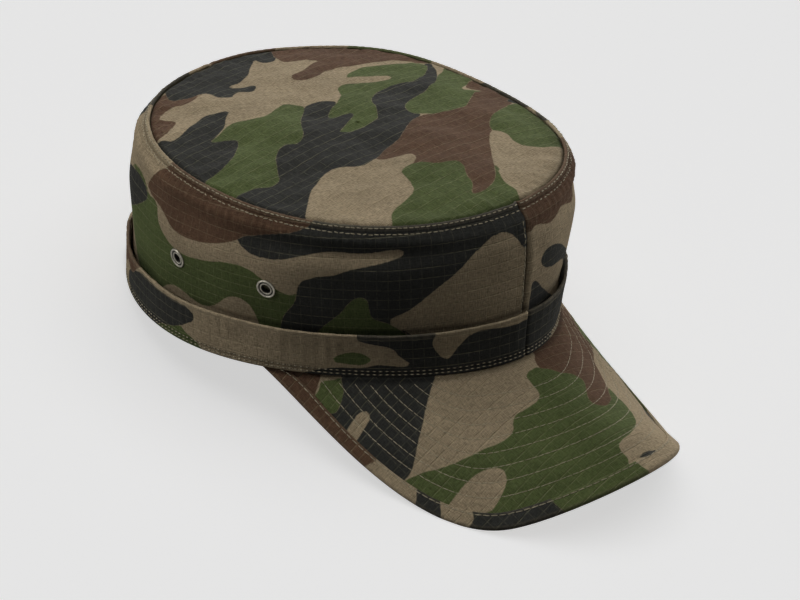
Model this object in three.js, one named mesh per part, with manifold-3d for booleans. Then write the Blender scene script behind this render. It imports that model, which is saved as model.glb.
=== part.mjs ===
// A soft patrol cap: an oval crown of a top panel and two wall halves, a folded-up band,
// an arched peak with a bound edge, and four metal vent eyelets.
// Lengths are in millimetres. The cap is first built level, on the plane of its band's lower
// edge, with the peak towards -Y and the wearer's right towards -X. It is then set down on
// its peak and the back of its band, as it lies on a table.

import * as THREE from "three";
import { mergeVertices } from "three/addons/utils/BufferGeometryUtils.js";
import Module from "manifold-3d";

const wasm = await Module();
wasm.setup();

// Cloth and clearances
const CLOTH = 1.6;
const CLEARANCE = 0.3;
const FLATTENING = 0.8;

// The band's lower edge, seen from above
const BAND_LENGTH = 212.5;
const BAND_WIDTH = 170.0;
const BAND_ROUNDNESS = 1.95;
const BAND_EGG = 0.034;

// The seam between the wall and the top panel
const CROWN_LENGTH = 178.2;
const CROWN_WIDTH = 169.8;
const CROWN_ROUNDNESS = 2.08;
const CROWN_FORWARD = 9.5;
const CROWN_LEFTWARD = 1.1;
const FRONT_HEIGHT = 68.3;
const BACK_HEIGHT = 83.0;

// Wall, top panel and band
const WALL_BULGE = 6.8;
const RIDGE_RISE = 1.1;
const TOP_DOME = 5.5;
const BAND_HEIGHT = 21.4;
const BAND_STANDOFF = 1.6;

// Peak
const PEAK_ROOT_ANGLE = 73.5;
const PEAK_LENGTH = 71.0;
const PEAK_DROP = 29.5;
const PEAK_CORNER_HALF_WIDTH = 54.0;
const PEAK_CORNER_REACH = 36.5;
const PEAK_CORNER_DROP = 48.0;
const PEAK_THICKNESS = 3.2;
const PEAK_EDGE_THICKNESS = 1.6;
const PEAK_TUCK = 5.0;
const BINDING_WIDTH = 7.5;
const BINDING_CLOTH = 1.0;
const BINDING_HOLLOW = 1.0;
const BOARD_STOP = 5.0;
const BOARD_TAPER = 18.0;

// Eyelets
const EYELET_FLANGE_RADIUS = 4.2;
const EYELET_BORE_RADIUS = 2.0;
const EYELET_METAL = 0.5;
const EYELET_HEIGHT = 39.5;
const EYELET_SPACING = 49.0;
const EYELET_PAIR_FORWARD = 11.5;

// Facets
const HALF_STEPS = 30;
const TOP_STEPS = 52;
const PEAK_STEPS = 40;
const EYELET_SIDES = 16;

// The wall from its foot to the seam: how far it is tucked in behind the band and how far it
// bulges, each as a share of its full amount.
const WALL_SECTION = [
  { height: 0.0, tuck: 1.0, bulge: 0.0 },
  { height: 0.16, tuck: 0.7, bulge: 0.0 },
  { height: 0.3, tuck: 0.35, bulge: 0.1 },
  { height: 0.46, tuck: 0.0, bulge: 0.38 },
  { height: 0.62, tuck: 0.0, bulge: 0.7 },
  { height: 0.8, tuck: 0.0, bulge: 1.0 },
  { height: 0.92, tuck: 0.0, bulge: 0.95 },
  { height: 1.0, tuck: 0.0, bulge: 0.3 },
];

// Soft hollows (negative) and swells of the wall. Places and sizes are shares of the way
// round from the front seam over the wearer's right, of the wall's height, and of its bulge.
const WALL_FOLDS = [
  { around: 0.14, height: 0.85, width: 0.08, rise: -0.5 },
  { around: 0.3, height: 0.8, width: 0.1, rise: -0.33 },
  { around: 0.42, height: 0.6, width: 0.06, rise: 0.15 },
  { around: 0.56, height: 0.75, width: 0.06, rise: -0.25 },
  { around: 0.67, height: 0.6, width: 0.05, rise: 0.15 },
  { around: 0.78, height: 0.7, width: 0.05, rise: -0.2 },
  { around: 0.9, height: 0.85, width: 0.07, rise: -0.35 },
];

// Where the seam round the top panel sags (or, negative, stands up), as shares of BACK_HEIGHT.
const SEAM_SAGS = [
  { around: 0.77, width: 0.1, drop: 0.045 },
  { around: 0.6, width: 0.08, drop: -0.016 },
];

// How each oval is out of round: waves round it, with their heights as shares of its width.
const BAND_WAVES = [
  { count: 2, cosine: 0, sine: -0.0027 },
  { count: 3, cosine: -0.0012, sine: -0.0038 },
  { count: 4, cosine: 0.0065, sine: 0 },
];
const CROWN_WAVES = [
  { count: 3, cosine: 0.0014, sine: -0.0017 },
  { count: 4, cosine: -0.0024, sine: -0.0035 },
];

// Soft folds of the top panel. Places and sizes are shares of the crown's half width and half
// length, and rises are shares of TOP_DOME.
const TOP_FOLDS = [
  { across: -0.55, along: -0.35, width: 0.28, rise: -0.22 },
  { across: -0.15, along: -0.62, width: 0.22, rise: 0.16 },
  { across: 0.35, along: -0.5, width: 0.3, rise: -0.2 },
  { across: -0.3, along: 0.3, width: 0.32, rise: 0.18 },
  { across: 0.3, along: 0.35, width: 0.34, rise: -0.2 },
  { across: 0.65, along: 0.05, width: 0.24, rise: 0.14 },
];

// The folded band's rows from its hem to its free edge, as shares of its height.
const BAND_ROWS = [0.0, 0.35, 0.7, 1.0];

// Rows of the peak between its root and the binding, as shares of that distance.
const PEAK_ROWS = [0.0, 0.3, 0.6, 0.85];

const TURN = 2 * Math.PI;

// How far a fold of the wall reaches down, as a share of the wall above it.
const FOLD_LEVEL_SPREAD = 0.5;

// Steps for slopes worked out from two close points, and halvings that find a place.
const ANGLE_STEP = 0.02;
const SHARE_STEP = 0.01;
const HALVINGS = 40;

// The last part of the peak's seam, as a share, where its tips narrow, and the share of the
// tips' width that the binding and its hollow may take.
const TIP_SHARE = 0.08;
const TIP_FILL = 0.9;
const bandOval = {
  length: BAND_LENGTH,
  width: BAND_WIDTH,
  roundness: BAND_ROUNDNESS,
  egg: BAND_EGG,
  middle: new THREE.Vector2(0, 0),
  waves: BAND_WAVES,
};
const crownOval = {
  length: CROWN_LENGTH,
  width: CROWN_WIDTH,
  roundness: CROWN_ROUNDNESS,
  egg: 0,
  middle: new THREE.Vector2(CROWN_LEFTWARD, -CROWN_FORWARD),
  waves: CROWN_WAVES,
};

// Outlines and helpers

function signedPower(value, power) {
  return Math.sign(value) * Math.abs(value) ** power;
}

// A point of an oval. The angle starts at the front and turns towards the wearer's right.
function ovalPoint(oval, angle) {
  const power = 2 / oval.roundness;
  const along = -signedPower(Math.cos(angle), power);
  const across = -signedPower(Math.sin(angle), power) * (1 + oval.egg * along);
  const point = new THREE.Vector2((across * oval.width) / 2, (along * oval.length) / 2);
  const outOfRound = oval.waves.reduce((sum, wave) => {
    const turned = wave.count * angle;
    return sum + oval.width * (wave.cosine * Math.cos(turned) + wave.sine * Math.sin(turned));
  }, 0);
  point.setLength(point.length() + outOfRound).add(oval.middle);
  return new THREE.Vector3(point.x, point.y, 0);
}

function ovalOutward(oval, angle) {
  const chord = ovalPoint(oval, angle + ANGLE_STEP).sub(ovalPoint(oval, angle - ANGLE_STEP));
  return new THREE.Vector3(-chord.y, chord.x, 0).normalize();
}

function lerp(low, high, share) {
  return low + (high - low) * share;
}

function smoothShare(share) {
  return share * share * (3 - 2 * share);
}

// A column of a table read at a height between its rows.
function readColumn(table, column, height) {
  const upper = Math.max(1, table.findIndex((row) => row.height >= height));
  const low = table[upper - 1];
  const high = table[upper];
  const share = (height - low.height) / (high.height - low.height);
  return lerp(low[column], high[column], share);
}

function hump(distance) {
  return Math.exp(-distance * distance);
}

// How far apart an angle and a place of a table are, as a share of the way round.
function aroundFrom(angle, place) {
  const apart = Math.abs(((angle / TURN) % 1) - place);
  return Math.min(apart, 1 - apart);
}

// A closed solid between two faces, each a grid of points. Rows may close on themselves.
function thickSheet(face, back, closedRows) {
  const rows = face.length;
  const columns = face[0].length;
  const points = [...face.flat(), ...back.flat()];
  const half = rows * columns;
  const triangles = [];
  const quad = (a, b, c, d) => triangles.push(a, b, c, a, c, d);
  const lastRow = closedRows ? rows : rows - 1;
  for (let i = 0; i < lastRow; i += 1) {
    const here = i * columns;
    const next = ((i + 1) % rows) * columns;
    for (let j = 0; j < columns - 1; j += 1) {
      quad(here + j, next + j, next + j + 1, here + j + 1);
      quad(half + here + j, half + here + j + 1, half + next + j + 1, half + next + j);
    }
    quad(here, half + here, half + next, next);
    quad(here + columns - 1, next + columns - 1, half + next + columns - 1, half + here + columns - 1);
  }
  if (!closedRows) {
    const end = (rows - 1) * columns;
    for (let j = 0; j < columns - 1; j += 1) {
      quad(j, j + 1, half + j + 1, half + j);
      quad(end + j, half + end + j, half + end + j + 1, end + j + 1);
    }
  }
  const geometry = new THREE.BufferGeometry().setFromPoints(points);
  geometry.setIndex(triangles);
  return closedGeometry(geometry);
}

// Merges shared corners, drops triangles that merging has emptied, and turns every face out.
function closedGeometry(geometry) {
  geometry.deleteAttribute("normal");
  geometry.deleteAttribute("uv");
  const merged = mergeVertices(geometry);
  const corner = merged.getIndex().array;
  const kept = [];
  for (let i = 0; i < corner.length; i += 3) {
    const [a, b, c] = corner.slice(i, i + 3);
    if (a !== b && b !== c && c !== a) {
      kept.push(a, b, c);
    }
  }
  merged.setIndex(signedVolume(merged, kept) < 0 ? kept.reverse() : kept);
  return merged;
}

function signedVolume(geometry, corners) {
  const position = geometry.getAttribute("position");
  const point = (i) => new THREE.Vector3().fromBufferAttribute(position, corners[i]);
  let volume = 0;
  for (let i = 0; i < corners.length; i += 3) {
    volume += point(i).dot(point(i + 1).cross(point(i + 2))) / 6;
  }
  return volume;
}

function toManifold(geometry) {
  return new wasm.Manifold(
    new wasm.Mesh({
      numProp: 3,
      vertProperties: new Float32Array(geometry.getAttribute("position").array),
      triVerts: new Uint32Array(geometry.getIndex().array),
    })
  );
}

function cutAway(geometry, cutters) {
  const solids = cutters.map(toManifold);
  const rest = solids.reduce((solid, cutter) => solid.subtract(cutter), toManifold(geometry));
  const mesh = rest.getMesh();
  const result = new THREE.BufferGeometry();
  result.setAttribute("position", new THREE.BufferAttribute(mesh.vertProperties, 3));
  result.setIndex(new THREE.BufferAttribute(mesh.triVerts, 1));
  return result;
}

// Crown wall

// The plane through the seam's front and back, and the seam's own height, with its sags.
function seamPlane(y) {
  const front = -CROWN_LENGTH / 2 - CROWN_FORWARD;
  return lerp(FRONT_HEIGHT, BACK_HEIGHT, (y - front) / CROWN_LENGTH);
}

function seamSag(angle) {
  return SEAM_SAGS.reduce((sum, sag) => {
    return sum + BACK_HEIGHT * sag.drop * hump(aroundFrom(angle, sag.around) / sag.width);
  }, 0);
}

function seamHeight(angle) {
  return seamPlane(ovalPoint(crownOval, angle).y) - seamSag(angle);
}

function wallFold(angle, height) {
  return WALL_FOLDS.reduce((sum, fold) => {
    const turned = aroundFrom(angle, fold.around) / fold.width;
    const level = (height - fold.height) / (1 - fold.height) / FOLD_LEVEL_SPREAD;
    return sum + fold.rise * hump(turned) * hump(level);
  }, 0);
}

// How far the wall's outer face stands out from the straight line between its two ovals.
function wallOffset(angle, height) {
  const tuck = readColumn(WALL_SECTION, "tuck", height);
  const bulge = readColumn(WALL_SECTION, "bulge", height);
  return WALL_BULGE * bulge * (1 + wallFold(angle, height)) - (CLOTH + CLEARANCE) * tuck;
}

// A point a given way out from the straight line between the ovals, at a share of its height.
function wallLine(angle, height, out) {
  const foot = ovalPoint(bandOval, angle);
  const head = ovalPoint(crownOval, angle);
  head.z = seamHeight(angle);
  const outward = ovalOutward(bandOval, angle).lerp(ovalOutward(crownOval, angle), height).normalize();
  return foot.lerp(head, height).addScaledVector(outward, out);
}

function wallFace(angle, height, depth) {
  return wallLine(angle, height, wallOffset(angle, height) - depth);
}

// The share of the wall's height that lies a given way above the band's lower edge.
function heightShare(angle, z) {
  return z / seamHeight(angle);
}

// Angles of one half of the cap, from the front seam to the back seam, clear of its other half.
function halfAngles(side) {
  const seam = CLEARANCE / BAND_WIDTH;
  const angles = [];
  for (let i = 0; i <= HALF_STEPS; i += 1) {
    angles.push(lerp(seam, Math.PI - seam, i / HALF_STEPS));
  }
  return side === "right" ? angles : angles.map((angle) => TURN - angle);
}

function wallColumn(angle, depth) {
  const footShare = heightShare(angle, CLOTH + CLEARANCE);
  const column = WALL_SECTION.map((row) => {
    const height = lerp(footShare, 1, row.height);
    return wallFace(angle, height, depth);
  });
  column.push(wallFace(angle, 1, depth).setZ(column.at(-1).z + RIDGE_RISE));
  return column;
}

function sidePanel(side) {
  const angles = halfAngles(side);
  const outer = angles.map((angle) => wallColumn(angle, 0));
  const inner = angles.map((angle) => wallColumn(angle, CLOTH));
  return thickSheet(outer, inner, false);
}

// Folded band: a hem turned in under the wall's foot, then up outside the wall to a free edge.

function bandFace(angle, share, depth) {
  const height = heightShare(angle, Math.max(BAND_HEIGHT * share, CLOTH + CLEARANCE));
  const standoff = CLEARANCE + BAND_STANDOFF * share + CLOTH;
  const out = wallOffset(angle, height) + standoff;
  return wallLine(angle, heightShare(angle, BAND_HEIGHT * share), out - depth);
}

function bandColumn(angle, depth) {
  const hemReach = 2 * CLOTH + CLEARANCE;
  const hem = bandFace(angle, 0, hemReach).setZ(depth);
  const column = BAND_ROWS.map((share) => bandFace(angle, share, depth));
  column[0].z = depth;
  return [hem, ...column];
}

function band(side) {
  const angles = halfAngles(side);
  const outer = angles.map((angle) => bandColumn(angle, 0));
  const inner = angles.map((angle) => bandColumn(angle, CLOTH));
  return thickSheet(outer, inner, false);
}

// Top panel

const TOP_RINGS = [0, 0.2, 0.4, 0.6, 0.8, 0.93, 1];

function topPoint(angle, ring, depth) {
  const inset = CLOTH + CLEARANCE;
  const rim = wallFace(angle, 1, inset);
  const centre = new THREE.Vector3(CROWN_LEFTWARD, -CROWN_FORWARD, 0);
  const point = centre.lerp(rim, ring);
  const across = (point.x - CROWN_LEFTWARD) / (CROWN_WIDTH / 2);
  const along = (point.y + CROWN_FORWARD) / (CROWN_LENGTH / 2);
  const fold = TOP_FOLDS.reduce((sum, row) => {
    const distance = Math.hypot(across - row.across, along - row.along) / row.width;
    return sum + row.rise * hump(distance);
  }, 0);
  const dome = TOP_DOME * (1 - ring * ring) * (1 + fold);
  point.z = seamPlane(point.y) - seamSag(angle) * ring * ring + dome - depth;
  return point;
}

function crownTop() {
  const outer = [];
  const inner = [];
  for (let i = 0; i < TOP_STEPS; i += 1) {
    const angle = (TURN * i) / TOP_STEPS;
    outer.push(TOP_RINGS.map((ring) => topPoint(angle, ring, 0)));
    inner.push(TOP_RINGS.map((ring) => topPoint(angle, ring, CLOTH)));
  }
  return discSheet(outer, inner);
}

// A closed solid between two round faces, whose columns all start at the middle.
function discSheet(face, back) {
  const rows = face.length;
  const columns = face[0].length;
  const points = [...face.flat(), ...back.flat()];
  const half = rows * columns;
  const triangles = [];
  for (let i = 0; i < rows; i += 1) {
    const here = i * columns;
    const next = ((i + 1) % rows) * columns;
    for (let j = 0; j < columns - 1; j += 1) {
      triangles.push(here + j, here + j + 1, next + j + 1, here + j, next + j + 1, next + j);
      const a = half + here + j;
      const b = half + next + j;
      triangles.push(a, b + 1, a + 1, a, b, b + 1);
    }
    const a = here + columns - 1;
    const b = next + columns - 1;
    triangles.push(a, half + a, half + b, a, half + b, b);
  }
  const geometry = new THREE.BufferGeometry().setFromPoints(points);
  geometry.setIndex(triangles);
  return closedGeometry(geometry);
}

// Peak

const bindingHalf = PEAK_EDGE_THICKNESS / 2 + CLEARANCE + BINDING_CLOTH;
const rootAngle = THREE.MathUtils.degToRad(PEAK_ROOT_ANGLE);

// The outline of the peak's wearer's-left half: from the front centre over the corner to the
// root. Handles are shares of the lengths that they follow.
function peakOutline() {
  const front = new THREE.Vector3(0, -BAND_LENGTH / 2 - PEAK_LENGTH, -PEAK_DROP);
  const corner = new THREE.Vector3(
    PEAK_CORNER_HALF_WIDTH,
    -BAND_LENGTH / 2 - PEAK_CORNER_REACH,
    -PEAK_CORNER_DROP
  );
  const root = ovalPoint(bandOval, -rootAngle).setZ(-bindingHalf - CLEARANCE);
  const alongCorner = new THREE.Vector3(0.62, 0.76, -0.18).normalize();
  const side = root.distanceTo(corner);
  const path = new THREE.CurvePath();
  path.add(
    new THREE.CubicBezierCurve3(
      front,
      new THREE.Vector3(0.5 * PEAK_CORNER_HALF_WIDTH, 0, 0).add(front),
      corner.clone().addScaledVector(alongCorner, -0.27 * PEAK_CORNER_HALF_WIDTH),
      corner
    )
  );
  path.add(
    new THREE.CubicBezierCurve3(
      corner,
      corner.clone().addScaledVector(alongCorner, 0.32 * side),
      new THREE.Vector3(-0.03, -0.2, -0.11).multiplyScalar(side).add(root),
      root
    )
  );
  return path;
}

const outline = peakOutline();

// The outline's point at a share from -1, the wearer's right end, to 1, the left end.
function outlinePoint(share) {
  const point = outline.getPointAt(Math.abs(share));
  return new THREE.Vector3(Math.sign(share || 1) * point.x, point.y, point.z);
}

// How full the stiff board is: it thins out towards the tips, where only cloth is left.
function boardFill(share) {
  const toTip = (1 - Math.abs(share)) * outline.getLength();
  return smoothShare(Math.min(1, toTip / BOARD_TAPER));
}

// The seam under the band, where the peak's upper face lies just below the hem.
function rootPoint(share, inward) {
  const angle = -share * rootAngle * (1 - TIP_SHARE);
  const outward = ovalOutward(bandOval, angle);
  const below = lerp(bindingHalf, PEAK_THICKNESS / 2, boardFill(share)) + CLEARANCE;
  return ovalPoint(bandOval, angle).addScaledVector(outward, -inward).setZ(-below);
}

// The peak's middle surface: straight lines from the root to the outline.
function peakMiddle(share, reach) {
  return rootPoint(share, 0).lerp(outlinePoint(share), reach);
}

function peakNormal(share, reach) {
  const low = Math.max(-1, share - SHARE_STEP);
  const high = Math.min(1, share + SHARE_STEP);
  const along = peakMiddle(high, reach).sub(peakMiddle(low, reach));
  const outwards = peakMiddle(share, reach + SHARE_STEP).sub(peakMiddle(share, reach));
  const normal = along.cross(outwards).normalize();
  return normal.z < 0 ? normal.negate() : normal;
}

// The reach of a line that keeps a given distance from the outline, drawn in where the peak
// narrows towards its tips.
function reachInside(share, distance) {
  const low = Math.max(-1, share - SHARE_STEP);
  const high = Math.min(1, share + SHARE_STEP);
  const tangent = outlinePoint(high).sub(outlinePoint(low)).normalize();
  const ruling = outlinePoint(share).sub(rootPoint(share, 0));
  const width = ruling.clone().cross(tangent).length();
  const drawnIn = Math.min(1, (TIP_FILL * width) / (BINDING_WIDTH + BINDING_HOLLOW));
  return 1 - (distance * drawnIn) / width;
}

function peakFace(share, reach, lift) {
  return peakMiddle(share, reach).addScaledVector(peakNormal(share, reach), lift);
}

function peakShares() {
  const shares = [];
  for (let i = 0; i <= PEAK_STEPS; i += 1) {
    shares.push(-1 + (2 * i) / PEAK_STEPS);
  }
  return shares;
}

function peakColumn(share, sign) {
  const shoulder = reachInside(share, BINDING_WIDTH + BINDING_HOLLOW);
  const rebate = reachInside(share, BINDING_WIDTH);
  const edge = reachInside(share, BINDING_CLOTH + CLEARANCE);
  const full = (sign * lerp(PEAK_EDGE_THICKNESS, PEAK_THICKNESS, boardFill(share))) / 2;
  const thin = (sign * PEAK_EDGE_THICKNESS) / 2;
  const tuck = rootPoint(share, PEAK_TUCK);
  tuck.z += full;
  const rows = PEAK_ROWS.map((row) => peakFace(share, row * shoulder, full));
  rows[0] = rootPoint(share, 0);
  rows[0].z += full;
  return [
    tuck,
    ...rows,
    peakFace(share, shoulder, full),
    peakFace(share, lerp(shoulder, rebate, 0.5), thin),
    peakFace(share, edge, thin),
  ];
}

// The peak's board and cloth stop a little short of the tips, which are binding alone.
function peak() {
  const end = 1 - BOARD_STOP / outline.getLength();
  const shares = peakShares().filter((share) => Math.abs(share) <= end);
  const upper = shares.map((share) => peakColumn(share, 1));
  const lower = shares.map((share) => peakColumn(share, -1));
  return thickSheet(upper, lower, false);
}

// The binding: cloth folded over the peak's edge, from its upper face to its lower face.
function bindingColumn(share, cloth) {
  const lift = PEAK_EDGE_THICKNESS / 2 + CLEARANCE + cloth;
  const inside = reachInside(share, BINDING_WIDTH);
  const middle = reachInside(share, BINDING_WIDTH / 2);
  const bend = reachInside(share, BINDING_CLOTH + CLEARANCE);
  const rim = reachInside(share, BINDING_CLOTH - cloth);
  return [
    peakFace(share, inside, lift),
    peakFace(share, middle, lift),
    peakFace(share, bend, lift),
    peakFace(share, rim, lift / 2),
    peakFace(share, rim, -lift / 2),
    peakFace(share, bend, -lift),
    peakFace(share, middle, -lift),
    peakFace(share, inside, -lift),
  ];
}

function peakBinding() {
  const shares = peakShares();
  const outer = shares.map((share) => bindingColumn(share, BINDING_CLOTH));
  const inner = shares.map((share) => bindingColumn(share, 0));
  return thickSheet(outer, inner, false);
}

// Eyelets: a rolled flange outside, a barrel through the wall and a flat flange inside.

const barrelRadius = EYELET_BORE_RADIUS + EYELET_METAL;
const holeRadius = barrelRadius + CLEARANCE;

// The room that a flat flange needs over the wall's curve.
const flangeSeat = CLEARANCE + EYELET_FLANGE_RADIUS ** 2 / CROWN_WIDTH;

function eyeletGeometry() {
  const top = flangeSeat;
  const bottom = -CLOTH - flangeSeat;
  const profile = [
    [EYELET_BORE_RADIUS, bottom - EYELET_METAL],
    [EYELET_FLANGE_RADIUS, bottom - EYELET_METAL],
    [EYELET_FLANGE_RADIUS, bottom],
    [barrelRadius, bottom],
    [barrelRadius, top],
    [EYELET_FLANGE_RADIUS, top],
    [EYELET_FLANGE_RADIUS, top + EYELET_METAL],
    [lerp(EYELET_BORE_RADIUS, EYELET_FLANGE_RADIUS, 0.5), top + 2 * EYELET_METAL],
    [EYELET_BORE_RADIUS, top + EYELET_METAL],
    [EYELET_BORE_RADIUS, bottom - EYELET_METAL],
  ];
  const points = profile.map(([radius, level]) => new THREE.Vector2(radius, level));
  return closedGeometry(new THREE.LatheGeometry(points, EYELET_SIDES));
}

// Where an eyelet sits: the angle of the wall's point that lies at a given y.
function angleAt(y) {
  let low = 0;
  let high = Math.PI;
  for (let i = 0; i < HALVINGS; i += 1) {
    const middle = (low + high) / 2;
    const point = wallFace(middle, heightShare(middle, EYELET_HEIGHT), 0);
    if (point.y < y) {
      low = middle;
    } else {
      high = middle;
    }
  }
  return (low + high) / 2;
}

function eyeletPlace(side, y) {
  const turned = angleAt(y);
  const angle = side === "right" ? turned : TURN - turned;
  const share = heightShare(angle, EYELET_HEIGHT);
  const point = wallFace(angle, share, 0);
  const ahead = wallFace(angle - ANGLE_STEP, share, 0);
  const behind = wallFace(angle + ANGLE_STEP, share, 0);
  const around = behind.sub(ahead);
  const upward = wallFace(angle, share + ANGLE_STEP, 0).sub(wallFace(angle, share - ANGLE_STEP, 0));
  const outward = around.cross(upward).normalize();
  if (outward.x * point.x < 0) {
    outward.negate();
  }
  const turn = new THREE.Quaternion().setFromUnitVectors(new THREE.Vector3(0, 1, 0), outward);
  return { point, turn };
}

function holeCutter(place) {
  const length = 8 * CLOTH;
  const cutter = new THREE.CylinderGeometry(holeRadius, holeRadius, length, EYELET_SIDES);
  cutter.applyQuaternion(place.turn);
  cutter.translate(place.point.x, place.point.y, place.point.z);
  return closedGeometry(cutter);
}

const eyeletRows = {
  front: -EYELET_PAIR_FORWARD - EYELET_SPACING / 2,
  back: -EYELET_PAIR_FORWARD + EYELET_SPACING / 2,
};

// How the cap lies: tilted back until its peak and the back of its band touch the table.

function lowestOfPeak(tilt) {
  const lowered = peakShares().map((share) => {
    const below = bindingColumn(share, BINDING_CLOTH);
    return Math.min(...below.map((point) => point.z * Math.cos(tilt) - point.y * Math.sin(tilt)));
  });
  return Math.min(...lowered);
}

function restTilt() {
  let low = 0;
  let high = Math.PI / 4;
  for (let i = 0; i < HALVINGS; i += 1) {
    const tilt = (low + high) / 2;
    const back = (-BAND_LENGTH / 2) * Math.sin(tilt);
    if (lowestOfPeak(tilt) < back) {
      low = tilt;
    } else {
      high = tilt;
    }
  }
  return (low + high) / 2;
}

const tilt = restTilt();
const tableLevel = lowestOfPeak(tilt) + FLATTENING;

// The table's half space, in the level cap's own frame.
function tableCutter() {
  const size = 2 * (BAND_LENGTH + PEAK_LENGTH);
  const box = new THREE.BoxGeometry(size, size, size);
  box.translate(0, 0, tableLevel - size / 2);
  box.rotateX(tilt);
  return closedGeometry(box);
}

// Assembly

const cloth = (color) => new THREE.MeshStandardMaterial({ color, roughness: 0.92, metalness: 0 });
const metal = new THREE.MeshStandardMaterial({ color: 0x8c8a84, roughness: 0.35, metalness: 1 });

const cap = new THREE.Group();

function addPiece(name, geometry, material) {
  const mesh = new THREE.Mesh(geometry, material);
  mesh.name = name;
  cap.add(mesh);
  return mesh;
}

const table = tableCutter();
addPiece("crown_top", crownTop(), cloth(0x5f6b3d));
addPiece("peak", peak(), cloth(0x55653a));
addPiece("peak_binding", cutAway(peakBinding(), [table]), cloth(0x4a3a2c));

for (const side of ["right", "left"]) {
  const places = Object.entries(eyeletRows).map(([row, y]) => ({ row, ...eyeletPlace(side, y) }));
  const holes = places.map(holeCutter);
  addPiece(`side_panel_${side}`, cutAway(sidePanel(side), holes), cloth(0x6b6048));
  addPiece(`band_${side}`, cutAway(band(side), [table]), cloth(0x4d5634));
  for (const place of places) {
    const eyelet = addPiece(`eyelet_${side}_${place.row}`, eyeletGeometry(), metal);
    eyelet.position.copy(place.point);
    eyelet.quaternion.copy(place.turn);
  }
}

// Sets the cap down on the table, centred over the origin.
cap.rotation.x = -tilt;
cap.updateMatrixWorld(true);
const bounds = new THREE.Box3().setFromObject(cap, true);
const middle = bounds.getCenter(new THREE.Vector3());
cap.position.set(-middle.x, -middle.y, -tableLevel);

const patrolCap = new THREE.Group();
patrolCap.add(cap);

export default patrolCap;
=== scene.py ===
# Patrol cap in woodland camouflage ripstop: cloth panels, stitches, eyelets, light and camera
import math

import bpy
import numpy as np
from mathutils import Matrix, Vector


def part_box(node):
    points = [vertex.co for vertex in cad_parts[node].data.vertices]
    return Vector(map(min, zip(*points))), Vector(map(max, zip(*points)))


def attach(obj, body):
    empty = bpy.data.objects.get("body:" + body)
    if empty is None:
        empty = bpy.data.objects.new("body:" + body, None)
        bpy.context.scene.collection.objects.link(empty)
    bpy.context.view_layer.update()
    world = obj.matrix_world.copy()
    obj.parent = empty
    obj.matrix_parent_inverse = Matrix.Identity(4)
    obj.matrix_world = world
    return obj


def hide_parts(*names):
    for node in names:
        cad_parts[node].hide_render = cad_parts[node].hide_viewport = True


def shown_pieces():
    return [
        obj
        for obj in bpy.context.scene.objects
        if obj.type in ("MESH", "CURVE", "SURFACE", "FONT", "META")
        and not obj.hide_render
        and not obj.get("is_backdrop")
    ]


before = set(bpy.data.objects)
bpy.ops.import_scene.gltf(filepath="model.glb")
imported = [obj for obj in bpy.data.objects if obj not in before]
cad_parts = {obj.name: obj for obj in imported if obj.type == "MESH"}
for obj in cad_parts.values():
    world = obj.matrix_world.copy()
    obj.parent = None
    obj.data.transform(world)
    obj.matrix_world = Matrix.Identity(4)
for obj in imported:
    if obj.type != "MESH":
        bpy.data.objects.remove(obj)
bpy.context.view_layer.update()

# Millimetres in the cap's own frame: the band's lower edge is level, front is -Y, the wearer's right is -X
MM = 0.001
TURN = 2 * math.pi
CLOTH = 1.6
CLEARANCE = 0.3
ROLL = CLOTH / 2

BAND = {"length": 212.5, "width": 170.0, "roundness": 1.95, "egg": 0.034, "middle": (0.0, 0.0)}
BAND["waves"] = [(2, 0.0, -0.0027), (3, -0.0012, -0.0038), (4, 0.0065, 0.0)]
CROWN = {"length": 178.2, "width": 169.8, "roundness": 2.08, "egg": 0.0, "middle": (1.1, -9.5)}
CROWN["waves"] = [(3, 0.0014, -0.0017), (4, -0.0024, -0.0035)]
FRONT_HEIGHT = 68.3
BACK_HEIGHT = 83.0
WALL_BULGE = 6.8
TOP_DOME = 5.0
BAND_HEIGHT = 21.4
BAND_STANDOFF = 1.6
HEM_DEPTH = 5.0
SEAM_GROOVE = 0.8
WALL_COLUMNS = 300
BAND_COLUMNS = 260
TOP_COLUMNS = 300

PEAK_ROOT_ANGLE = math.radians(73.5)
PEAK_ROOT_SHARE = 0.92
PEAK_LENGTH = 71.0
PEAK_DROP = 29.5
PEAK_CORNER = (54.0, 36.5, 48.0)
PEAK_THICKNESS = 3.2
PEAK_EDGE_THICKNESS = 1.6
PEAK_TUCK = 5.0
PEAK_INSET = 2.2
PEAK_TIP_ANGLE = math.radians(74.5)
TIP_TUCK = 2.2
TIP_DROP = 0.35
TIP_THINNESS = 0.45
BINDING_WIDTH = 7.5
BINDING_THICKNESS = 0.95
BINDING_SINK = 0.25
PEAK_COLUMNS = 230
BINDING_COLUMNS = 250
# How far towards the peak's tips its cloth, stitches and binding go, as a share of its edge
PEAK_END = 0.985
BINDING_END = 0.998

# Rows of (height, tuck, bulge): how far the wall stands in from or out of its own line
WALL_SECTION = np.array([
    (0.00, 1.00, 0.00), (0.16, 0.70, 0.00), (0.30, 0.35, 0.10), (0.46, 0.00, 0.38),
    (0.62, 0.00, 0.70), (0.80, 0.00, 1.00), (0.92, 0.00, 0.95), (1.00, 0.00, 0.30),
])
# Rows of (around, height, width, rise): folds of the wall, as shares of the turn, the height and the bulge
WALL_FOLDS = [
    (0.14, 0.85, 0.08, -0.50), (0.30, 0.80, 0.10, -0.33), (0.42, 0.60, 0.06, 0.15),
    (0.56, 0.75, 0.06, -0.25), (0.67, 0.60, 0.05, 0.15), (0.78, 0.70, 0.05, -0.20),
    (0.90, 0.85, 0.07, -0.35),
]
# Rows of (around, width, drop): where the top seam sags, as shares of the turn and of the back's height
SEAM_SAGS = [(0.77, 0.10, 0.045), (0.60, 0.08, -0.016), (0.60, 0.055, 0.026)]
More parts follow.
